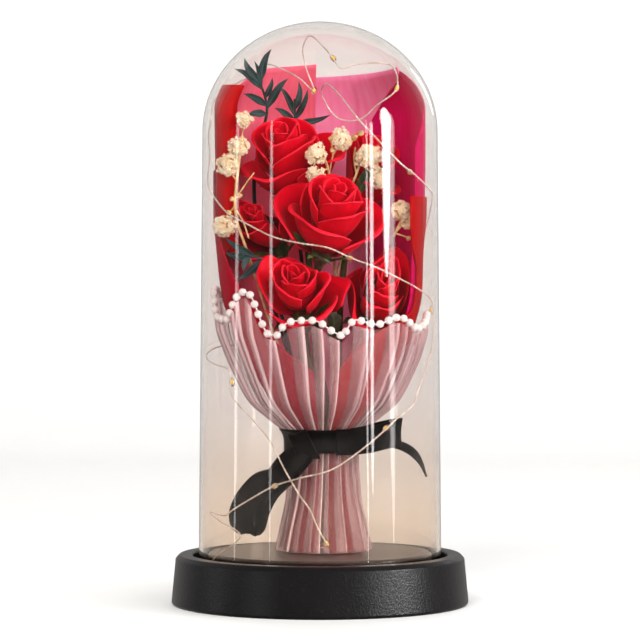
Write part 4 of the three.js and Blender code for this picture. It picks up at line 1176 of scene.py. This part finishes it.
# A cluster is given by its centre, its radius and its stretch along each axis, a bud by centre and radius.
def spray(name, node, slot, course, twigs, clusters, buds, seed):
    twig = Parts()
    stem = (to_tie(slot, course, 32), 0.55, 60)
    for line, radius, count in [stem] + [(line, 0.32, 12) for line in twigs]:
        twig.add(*tube(smooth_run(line, count), [radius] * count, 6))
    for centre, radius in buds:
        twig.add(*ball(centre, radius * 0.9, EVEN))
    for centre, radius, stretch in clusters:
        twig.add(*ball(centre, radius * 0.55, stretch))
    pieces = [twig.made(name, straw_twig)]
    for number, (centre, radius, stretch) in enumerate(clusters):
        core = piece("cluster", *ball(centre, radius * 0.74, stretch), blossom_cream)
        pieces.append(scatter.run(core, "blossoms", blossom_cream, Blossom=blossom, Seed=seed + number,
                                  Size=BLOSSOM_SIZE, Spacing=BLOSSOM_SIZE * BLOSSOM_CROWDING / 1000))
    stands_for(join(name, pieces), "gypsophila", node)


spray("left_spray", "gypsophila_left", 10,
      [(-29.4, -14, 180), (-31.6, -15, 163), (-32, -15, 150), (-27, -13, 134), (-19, -8, 108)],
      [[(-31.8, -15, 154), (-35, -15.2, 150), (-38, -15.4, 147)], [(-31.6, -15, 163), (-34.6, -14.6, 167)],
       [(-30.4, -14.4, 174), (-28.8, -14, 186)], [(-32, -15, 156), (-28, -17, 162), (-25, -17, 166)],
       [(-31.9, -15, 152), (-29, -17, 147), (-27, -17, 141)]],
      [((-31, -14, 176), 3.5, EVEN), ((-35, -14.4, 169), 4, EVEN), ((-28.6, -14, 186.3), 2.7, EVEN),
       ((-36.4, -15.4, 145.6), 3.6, EVEN)],
      [((-33.2, -15, 156), 1.1), ((-30.5, -15, 157.4), 1.2)], 10)
spray("centre_spray", "gypsophila_centre", 1,
      [(1.4, -8.6, 172.8), (3.6, -3, 166), (4.6, 6, 156), (5.4, 5, 140), (6, 2, 120), (5, -1.6, 100)],
      [[(3.6, -3, 166), (5, -5, 173), (8.1, -6, 178)], [(3, -4.7, 168), (-1.6, -10.6, 166.4)],
       [(5, -5, 173), (4.4, -6.8, 179)], [(8.1, -6, 178), (13.1, -7, 180), (15.8, -7, 181.6)]],
      [((-1.4, -9.6, 173.4), 3.6, EVEN), ((-2.2, -11, 166), 2.6, (1.4, 1, 0.9)),
       ((8.1, -7, 179.4), 3.9, EVEN)],
      [((4.3, -7, 179.4), 1.2), ((4.8, -5.4, 175), 1.2), ((13.1, -7, 180), 1.3), ((15.8, -7, 181.6), 1.3)],
      20)
spray("right_spray", "gypsophila_right", 4,
      [(16, -6, 172), (14, -4, 166), (10.8, 0.6, 157), (9.4, 9, 140), (4, 6.6, 110)],
      [[(15.8, -5.8, 171), (19, -7, 167), (22, -9, 164)], [(14, -4, 166), (13, -7, 172), (13.6, -8, 176)]],
      [((18.6, -7, 172.6), 4, (1.3, 1, 1)), ((22.4, -9, 164.4), 3.2, (0.9, 1, 1.3))], [], 30)
spray("far_right_spray", "gypsophila_far_right", 2,
      [(31.4, -16, 149), (28.6, -14, 143), (28, -2, 140), (28.4, 9, 134), (28, 14, 120), (24, 8, 100)],
      [[(28.6, -14, 143), (33.8, -16, 141.2)], [(28.6, -14, 143), (31, -17, 146)]],
      [((30.8, -16.6, 151.4), 3.6, EVEN), ((33.2, -15.6, 147.6), 2.4, EVEN)], [((33.6, -16, 141), 1)], 40)
bpy.data.objects.remove(blossom)


# Tulle: one white net sheet, laid in narrow knife pleats round the papers, gathered by the ribbon and open as
# a skirt below it. Its free edges meet at the back.
TULLE_PLEATS = 38
TULLE_THICKNESS = 0.12
TULLE_SPAN = 358.8
TULLE_ROWS = 84
PLEAT_DEPTH = 1.7

tulle_outline = smooth_line([
    (20, 18.6), (30, 16.5), (45, 13.8), (58, 13.2), (64, 13.2), (71, 20.5), (78, 28.3), (88, 33.8), (98, 38),
    (106, 40.4), (122, 41.4),
])
tulle_edge = smooth_line([
    (-180, 113), (-150, 117), (-120, 112), (-95, 120), (-80, 109), (-62, 108), (-43, 118.7), (-32, 103),
    (-25, 102.3), (-16, 107.5), (-5, 107.9), (4, 104), (13, 101.5), (17, 108), (30, 106.3), (45, 108.9),
    (62, 104.6), (73, 106), (88, 109.7), (102, 97), (125, 112), (150, 108), (180, 113),
])


def tulle_place(angle, height, lift=0):
    shift = BOUQUET_X * (1 - smooth_step(90, 125, height))
    return around(tulle_outline(height) + lift, angle, height, shift)


# A knife pleat seen from above: (share of the pleat's width, depth). It runs out, turns under, and goes on.
pleat_course = [(0, 1), (0.35, 1), (0.75, 1), (1.18, 0.95), (1.28, 0.55), (1.22, 0.1), (0.9, 0), (0.72, 0.1),
                (0.76, 0.5), (0.9, 0.85)]


# Net lets most light through. It looks whitest along the folds, where it is seen edge on. In the skirt only
# every third fold shows as a line.
def white_net():
    finish = Finish("white_net", (0.95, 0.9, 0.9))
    across = finish.axis(0, "UV")
    fold = 1 - (across.of("FRACT") - 0.4).of("ABSOLUTE").between(0.04, 0.15)
    plain = (across.of("FLOOR") / 3).of("FRACT").between(0.1, 0.2)
    skirt = 1 - finish.axis(2).between(0.05, 0.062)
    fold = fold * (1 - skirt * plain * 0.85)
    threads = finish.cloud(1500, 2)
    streak = finish.cloud(0.9, 2, (1, 0.25, 1), "UV")
    cover = 0.03 + threads.between(0.35, 0.7) * 0.06 + streak.between(0.4, 0.7) * 0.08 + fold * 0.52
    colour = finish.mix(fold * 0.7, tone(255, 206, 210), tone(255, 246, 246))
    surface = finish.surface(colour, 0.75, Normal=finish.bump(threads, 0.3, 0.15), Sheen_Weight=0.6,
                             Sheen_Roughness=0.4, Specular_IOR_Level=0.2)
    net = finish.glowing(surface, 0.25, tone(255, 228, 228))
    clear = finish.node("ShaderNodeBsdfTransparent", {}, {})
    return finish.done(finish.blend(cover.of("MINIMUM", 0.9), clear, net))


# The pleats are deep in the flare and flatter at the tie. In the skirt every third one stands out, and they
# lean outwards to both sides.
def tulle_sheet():
    pick = random.Random(7)
    widths = [pick.uniform(0.55, 1.6) for _ in range(TULLE_PLEATS)]
    depths = [pick.uniform(0.75, 1.15) for _ in range(TULLE_PLEATS)]
    folds = [pick.uniform(0.9, 1.15) for _ in range(TULLE_PLEATS)]
    total = sum(widths)
    points, coordinates = [], []
    for j in range(TULLE_ROWS):
        for pleat in range(TULLE_PLEATS):
            start = -TULLE_SPAN / 2 + TULLE_SPAN * sum(widths[:pleat]) / total
            pitch = TULLE_SPAN * widths[pleat] / total
            for k, (share, depth) in enumerate(pleat_course):
                if share > 1:
                    share = 1 + (share - 1) * folds[pleat]
                angle = start + pitch * share
                foot = BOUQUET_FOOT + 0.3 + 0.5 * (1 - depth)
                height = mix(foot, tulle_edge(angle), j / (TULLE_ROWS - 1))
                slack = smooth_step(66, 84, height) - 0.25 * smooth_step(56, 40, height)
                deep = PLEAT_DEPTH * depths[pleat] * mix(0.62, 1, slack)
                deep *= mix(1, 1.45 if pleat % 3 == 0 else 0.5, smooth_step(62, 46, height))
                lean = 2.5 * math.sin(height * 0.045 + pleat * 0.9) * smooth_step(64, 74, height)
                lean += 26 * math.sin(math.radians(angle) - 0.5) * smooth_step(60, 22, height)
                wave = 0.25 * noise.noise(Vector((pleat * 0.7, 0.09 * height, 3)))
                points.append(tulle_place(angle + lean * 0.35, height, (depth - 0.55) * deep + wave))
                coordinates.append((pleat + k / len(pleat_course), height / 9))
    sheet_piece("tulle_net", points, coordinates, TULLE_ROWS, white_net(), TULLE_THICKNESS, "tulle",
                "tulle_wrap")


tulle_sheet()


# Pearls: one string of round pearl beads on a thread, laid along the tulle's free edge. Geometry Nodes set
# the beads at an even spacing along the edge, and the thread runs through them.
BEAD_RADIUS = 1.5
BEAD_SPACING = 4.1
PEARL_LIFT = 2.1
PEARL_THREAD = 0.3
PEARL_STEPS = 120
PEARL_LINE_POINTS = 720


# A place moved straight towards the dome's axis until it is no further out than the limit.
def held_inside(spot, limit):
    reach = math.hypot(spot.x, spot.y)
    if reach <= limit:
        return spot
    return Vector((spot.x * limit / reach, spot.y * limit / reach, spot.z))


def pearl_line():
    places = []
    for step in range(PEARL_STEPS):
        angle = -180 + 360 / PEARL_STEPS * step
        before, here, after = [tulle_place(a, tulle_edge(a)) for a in (angle - 2, angle, angle + 2)]
        up = around(1, angle, 0).cross(after - before)
        spot = here + up.normalized() * (PEARL_LIFT if up.z > 0 else -PEARL_LIFT)
        places.append(held_inside(spot, dome_inside(spot.z) - BEAD_RADIUS - 1.3))
    return smooth_run(places, PEARL_LINE_POINTS, closed=True)


def white_pearl():
    finish = Finish("white_pearl", tone(250, 244, 236))
    cloudy = finish.cloud(190, 3)
    colour = finish.mix(cloudy.between(), tone(232, 220, 216), tone(246, 240, 238))
    normal = finish.bump(finish.cloud(1300, 2), 0.06, 0.05)
    return finish.solid(colour, 0.2 + cloudy * 0.1, Normal=normal, Coat_Weight=0.5 + cloudy * 0.2,
                        Coat_Roughness=0.08, Specular_IOR_Level=0.6)


# An object that is only a line of joined points, for a recipe to work along.
def line_object(name, points, closed):
    mesh = bpy.data.meshes.new(name)
    count = len(points)
    edges = [(i, (i + 1) % count) for i in range(count if closed else count - 1)]
    mesh.from_pydata([Vector(point) / 1000 for point in points], edges, [])
    return place_object(name, mesh)


# Adds a curve along the recipe's line, and a round cord of the given radius along it.
def add_cord(recipe, radius, **sockets):
    line = recipe.add("GeometryNodeMeshToCurve", {"Mesh": recipe.given["Geometry"]})
    ring = recipe.add("GeometryNodeCurvePrimitiveCircle", {"Resolution": 6, "Radius": radius})
    return line, recipe.add("GeometryNodeCurveToMesh", {"Curve": line, "Profile Curve": ring, **sockets})


pearl = white_pearl()
beads = Recipe("beads_on_thread", {"Spacing": "Float", "Radius": "Float", "Thread": "Float"})
strand, thread = add_cord(beads, beads.given["Thread"])
stops = beads.add("GeometryNodeResampleCurve", {"Curve": strand, "Length": beads.given["Spacing"]},
                  mode="LENGTH")
bead = beads.add("GeometryNodeMeshUVSphere", {"Segments": 18, "Rings": 11, "Radius": beads.given["Radius"]})
string = beads.add("GeometryNodeInstanceOnPoints", {"Points": stops, "Instance": bead})
strung = beads.add("GeometryNodeJoinGeometry", {})
for part in (string, thread):
    beads.tree.links.new(part, strung.node.inputs[0])
beads.finish(strung, pearl)
pearls = beads.run(line_object("pearl_path", pearl_line(), True), "pearl_beads", pearl,
                   Spacing=BEAD_SPACING / 1000, Radius=BEAD_RADIUS / 1000, Thread=PEARL_THREAD / 1000)
stands_for(pearls, "pearl", "pearl_string")


# Ribbon: one flat black grosgrain ribbon with fine cross ribs, wound round the tie, with a folded knot, a
# long loop that hangs to the left, and a loop and a cut tail that stand to the right.
RIBBON_WIDTH = 10
RIBBON_TAIL_WIDTH = 3.4
RIBBON_KNOT_WIDTH = 7.4
RIBBON_THICKNESS = 0.45
RIBBON_RIB = 0.55
RIBBON_COLUMNS = 9
BAND_SIDES = 120
BAND_DEGREE = 0.27
KNOT_AT = Vector((-6, -16.8, 61.5))

# Each row of a course is a place, a direction across the ribbon there, and the degrees that it curls through.
SLANT, TURNED, LEVEL = (-0.65, 0, 0.75), (-0.2, 0.8, 0.6), (-1, 0, 0.1)
UPRIGHT, EDGE_ON, ACROSS_KNOT = (0.1, 0, 1), (0.6, 0, 0.8), (1, -0.15, 0.35)
left_loop = [
    (-5, -18.4, 60.5, SLANT, 60), (-11, -20, 56, SLANT, 70), (-17.5, -21.2, 51.4, TURNED, 40),
    (-22.8, -21.8, 47, SLANT, 60), (-27.2, -21.9, 41.6, SLANT, 40), (-29.4, -21.8, 36.2, LEVEL, 50),
    (-29, -21.2, 31.4, LEVEL, 100), (-27.2, -20, 28.6, LEVEL, 170), (-25.2, -18.8, 31, LEVEL, 110),
    (-24, -18.2, 37, LEVEL, 40), (-20, -18.2, 45, SLANT, 30), (-12, -18.2, 53, SLANT, 40),
    (-6, -17.8, 60, SLANT, 60),
]
right_loop = [
    (6, -17.9, 63.3, UPRIGHT, 20), (14, -17.9, 63.6, UPRIGHT, 45), (22, -17.4, 65, UPRIGHT, 30),
    (28.6, -15.8, 66.8, UPRIGHT, 30), (30.8, -14, 67.4, UPRIGHT, 10), (29, -12.6, 67.2, UPRIGHT, 20),
    (23.4, -12.6, 66, UPRIGHT, 30), (17.6, -14.6, 64.4, UPRIGHT, 30), (12, -17.2, 63.6, UPRIGHT, 20),
]
right_tail = [
    (17.4, -15, 63.4, EDGE_ON, 30), (23, -12.8, 63, EDGE_ON, 50), (30, -12, 62, EDGE_ON, 40),
    (35, -11, 59.4, EDGE_ON, 60), (38.4, -9, 55.2, EDGE_ON, 40), (40.8, -7.4, 49.6, EDGE_ON, 20),
]
knot = []
for i in range(13):
    turn = math.radians(200 * i / 12 - 10)
    knot.append((KNOT_AT.x - 5.4 * math.cos(turn) * 0.5, KNOT_AT.y + 1.4 - 4.2 * math.sin(turn) * 0.9,
                 KNOT_AT.z + 5 * math.cos(turn), ACROSS_KNOT, 50))
band = [(14.9, 58.9), (14.9, 60.4), (14.95, 62.2), (15, 63.8), (15.4, 65.3), (16.1, 66.7), (16.9, 67.7)]


def grosgrain():
    finish = Finish("black_grosgrain", tone(40, 39, 42))
    ribs = (finish.axis(0, "UV") * (2 * math.pi / RIBBON_RIB)).of("SINE") * 0.5 + 0.5
    wear = finish.cloud(90, 3)
    selvedge = ((finish.axis(1, "UV") - 0.5).of("ABSOLUTE") * 2).between(0.9, 0.97)
    colour = finish.mix(ribs, tone(1, 1, 1), tone(10, 8, 8))
    colour = finish.mix(selvedge * 0.4 + wear * 0.1, colour, tone(24, 22, 22))
    normal = finish.bump(ribs * (1 - selvedge), 0.5, 0.14)
    return finish.solid(colour, 0.3 + wear * 0.15, Normal=normal, Specular_IOR_Level=0.1)


# A length of ribbon along a course, which may narrow to its cut end.
def strip(course, full_width, steps, taper=0):
    line = smooth_course([row[:3] for row in course], steps)
    spots = [spot for spot, _ in line]
    points, coordinates, far = [], [], 0
    for j, (spot, k) in enumerate(line):
        far += (spot - spots[max(0, j - 1)]).length
        width = full_width * (1 - taper * smooth_step(0.55, 1, j / (steps - 1)))
        along = heading(spots, j)
        low = min(int(k), len(course) - 2)
        direction = Vector(course[low][3]).lerp(Vector(course[low + 1][3]), k - low)
        curl = math.radians(mix(course[low][4], course[low + 1][4], k - low))
        across = (direction - along * direction.dot(along)).normalized()
        bow = along.cross(across)
        for i in range(RIBBON_COLUMNS):
            u = -1 + 2 * i / (RIBBON_COLUMNS - 1)
            turn = u * curl / 2
            sideways, forward = width / curl * math.sin(turn), width / curl * (1 - math.cos(turn))
            points.append(spot + across * sideways + bow * forward)
            coordinates.append((far, (u + 1) / 2))
    return points, grid_faces(steps, RIBBON_COLUMNS), coordinates


def ribbon_piece():
    points, coordinates = [], []
    for j, (radius, height) in enumerate(band):
        for i, (x, y) in enumerate(circle(BAND_SIDES)):
            angle = 360 * i / BAND_SIDES
            crease = 0.16 * noise.noise(Vector((0.09 * height, 5 * x, 5 * y)))
            points.append(around(radius + 0.3 + crease, angle, height, BOUQUET_X))
            coordinates.append((angle * BAND_DEGREE, j / (len(band) - 1)))
    ribbon = Parts()
    ribbon.add(points, grid_faces(len(band), BAND_SIDES, closed=True), coordinates)
    ribbon.add(*strip(left_loop, RIBBON_WIDTH, 90))
    ribbon.add(*strip(right_loop, RIBBON_WIDTH, 70))
    ribbon.add(*strip(right_tail, RIBBON_TAIL_WIDTH, 50, taper=0.75))
    ribbon.add(*strip(knot, RIBBON_KNOT_WIDTH, 40))
    made = ribbon.made("grosgrain_ribbon", grosgrain())
    give_thickness(made, RIBBON_THICKNESS)
    stands_for(made, "ribbon", "ribbon")


ribbon_piece()


# Light wire: two thin champagne strands twisted together, wound loosely through the dome and down to the
# base. Along it sit clear drops of resin, each round a tiny lamp with a yellow core.
WIRE_RADIUS = 0.35
STRAND_RADIUS = 0.19
TWIST_TURN = 3.4
DROP_LENGTH = 3.4
DROP_RADIUS = 1
DROP_STEPS = 12
WIRE_GAP = 0.55
WIRE_POINTS = 2200
GLASS_STEP = 22
CAD_DOME_SIDES = 28


# The CAD's dome has flat sides, and the wire stays inside them too.
def wire_limit(height):
    return dome_inside(height) * math.cos(math.pi / CAD_DOME_SIDES) - WIRE_GAP


# A stop on the glass: (angle, height, how far in from the glass, whether a light sits there).
def wall(angle, height, inset=0.0, light=False):
    return around(wire_limit(height) - inset, angle, height), light, (angle, height, inset)


def inside(x, y, z, light=False):
    return Vector((x, y, z)), light, None


wire_stops = [
    wall(-74, 15.4, 0.4), wall(-60, 20.6, 0.4), wall(-42, 29.1, 0.4), wall(-58, 34, 0.2), wall(-66.5, 36.7),
    wall(-52, 36.2), wall(-47, 38.4), wall(-22.5, 48.2, 0, True), wall(-10, 51.3), wall(5, 54.4),
    wall(20, 61.7), wall(34, 69.6, 0, True), wall(40.5, 73.3), wall(51.4, 77.9), wall(56, 83.5), wall(72, 98),
    wall(90, 113.6, 0, True), wall(68, 118.7), wall(44, 125.1), wall(29, 129.6), wall(15, 133.3, 0, True),
    wall(4, 137), wall(-10, 138.8), wall(-23, 141.1), wall(-37, 145.7), wall(-52, 150.4, 0, True),
    wall(-59, 153.6), wall(-90, 167.8), wall(-96, 174), wall(-90, 179.4), wall(-72, 187), wall(-90, 195, 0.3),
    wall(-118, 203, 0.3), wall(-132, 207.5, 0.3), inside(-22, 19.5, 210.6), inside(-15, 13, 208),
    inside(-8, 9.5, 204), inside(-2.4, 8, 199, True), inside(-5.5, 6.5, 208), inside(-6.6, 5, 216),
    inside(-4, 1.5, 220), inside(1, -3, 215.5), inside(5, -6, 210.5, True), inside(7.9, -8, 206.5),
    inside(16, -4, 208.6), inside(28.4, 3, 208), inside(29.8, 2, 199.5, True), inside(22, 3, 193),
    inside(15.4, 4, 187.6), inside(7, 3, 188), inside(1, 0, 196), inside(2, -14, 200), inside(7, -30, 195),
    wall(17.5, 186.5), wall(27, 179.2), wall(44.6, 168.4), wall(51.5, 165.9, 0, True), wall(69, 160.2),
    wall(90, 156), wall(112, 140), wall(135, 120), wall(165, 106), wall(200, 100), wall(245, 99),
    wall(285, 95), wall(310, 91), wall(311, 86.6, 0, True), wall(312, 81.7), wall(326, 72.6),
    wall(334.8, 65.3, 0.5), wall(342.7, 54.2, 0.95), wall(350, 45, 0.95), wall(355.2, 39.5, 0.5),
    wall(359, 32.8), wall(363, 27.2, 0, True),
]


# The wire follows the glass between two stops that both lie on it, in steps of so many degrees at most.
def wire_course():
    spots = []
    for here, following in zip(wire_stops, wire_stops[1:] + [None]):
        spots.append(here[0])
        if following is None or here[2] is None or following[2] is None:
            continue
        (angle, height, inset), (next_angle, next_height, next_inset) = here[2], following[2]
        turn = (next_angle - angle + 540) % 360 - 180
        steps = math.ceil(abs(turn) / GLASS_STEP)
        for step in range(1, steps):
            share = step / steps
            level = mix(height, next_height, share)
            radius = wire_limit(level) - mix(inset, next_inset, share)
            spots.append(around(radius, angle + turn * share, level))
    return [held_inside(spot, wire_limit(spot.z) + 0.05) for spot in smooth_run(spots, WIRE_POINTS)]


wire_metal = mottled("champagne_wire", (226, 204, 186), (240, 3), tone(212, 192, 176), tone(252, 244, 234),
                     0.3, (0.1, 0.1), spread=0.15, Metallic=0.5)
twisted = Recipe("twisted_strands", {"Strand": "Float"})
twisted.finish(add_cord(twisted, twisted.given["Strand"], **{"Fill Caps": True})[1], wire_metal)


def twisted_strand(course, phase):
    points, far, before = [], 0, course[0]
    reach = STRAND_RADIUS * 0.85
    for spot, side, across in carried(course):
        far += (spot - before).length
        before = spot
        turn = 2 * math.pi * far / TWIST_TURN + phase
        points.append(spot + side * (reach * math.cos(turn)) + across * (reach * math.sin(turn)))
    return line_object("strand_path", points, False)


wire_run = wire_course()
strands = [twisted.run(twisted_strand(wire_run, phase), "strand", wire_metal, Strand=STRAND_RADIUS / 1000)
           for phase in (0, math.pi)]
stands_for(join("twisted_light_wire", strands), "wire", "light_wire")


# A drop is a spindle along its wire: blunt where the lamp sits, and drawn out at both ends.
def light_drops(name, scale, sides, material):
    drops = Parts()
    for i, (spot, light, _) in enumerate(wire_stops):
        if not light:
            continue
        before = wire_stops[i - 1][0]
        after = wire_stops[i + 1][0] if i + 1 < len(wire_stops) else spot + (spot - before)
        along = (after - before).normalized()
        spot = held_inside(spot, wire_limit(spot.z) + WIRE_RADIUS - DROP_RADIUS - 0.05)
        shares = [k / DROP_STEPS for k in range(DROP_STEPS + 1)]
        half = DROP_LENGTH / 2 * scale
        line = [spot + along * (half * math.sin(math.pi * (share - 0.5))) for share in shares]
        radii = [DROP_RADIUS * scale * max(0.06, math.sin(math.pi * share)) ** 0.9 for share in shares]
        drops.add(*tube(line, radii, sides))
    made = drops.made(name, material)
    stands_for(made, "light_drop")
    return made


resin = mottled("lamp_drop", (255, 240, 205), (160, 2), (1, 0.96, 0.88), (1, 0.985, 0.95), 0.04, (0.08, 0.1),
                fine=(600, 2), IOR=1.5, Transmission_Weight=1)
lamp = mottled("yellow_lamp", (240, 196, 60), (900, 2), tone(226, 170, 40), tone(255, 226, 120), 0.4,
               (0.2, 0.2))
light_drops("resin_drops", 1, 16, resin).visible_shadow = False
light_drops("lamp_cores", 0.5, 10, lamp)
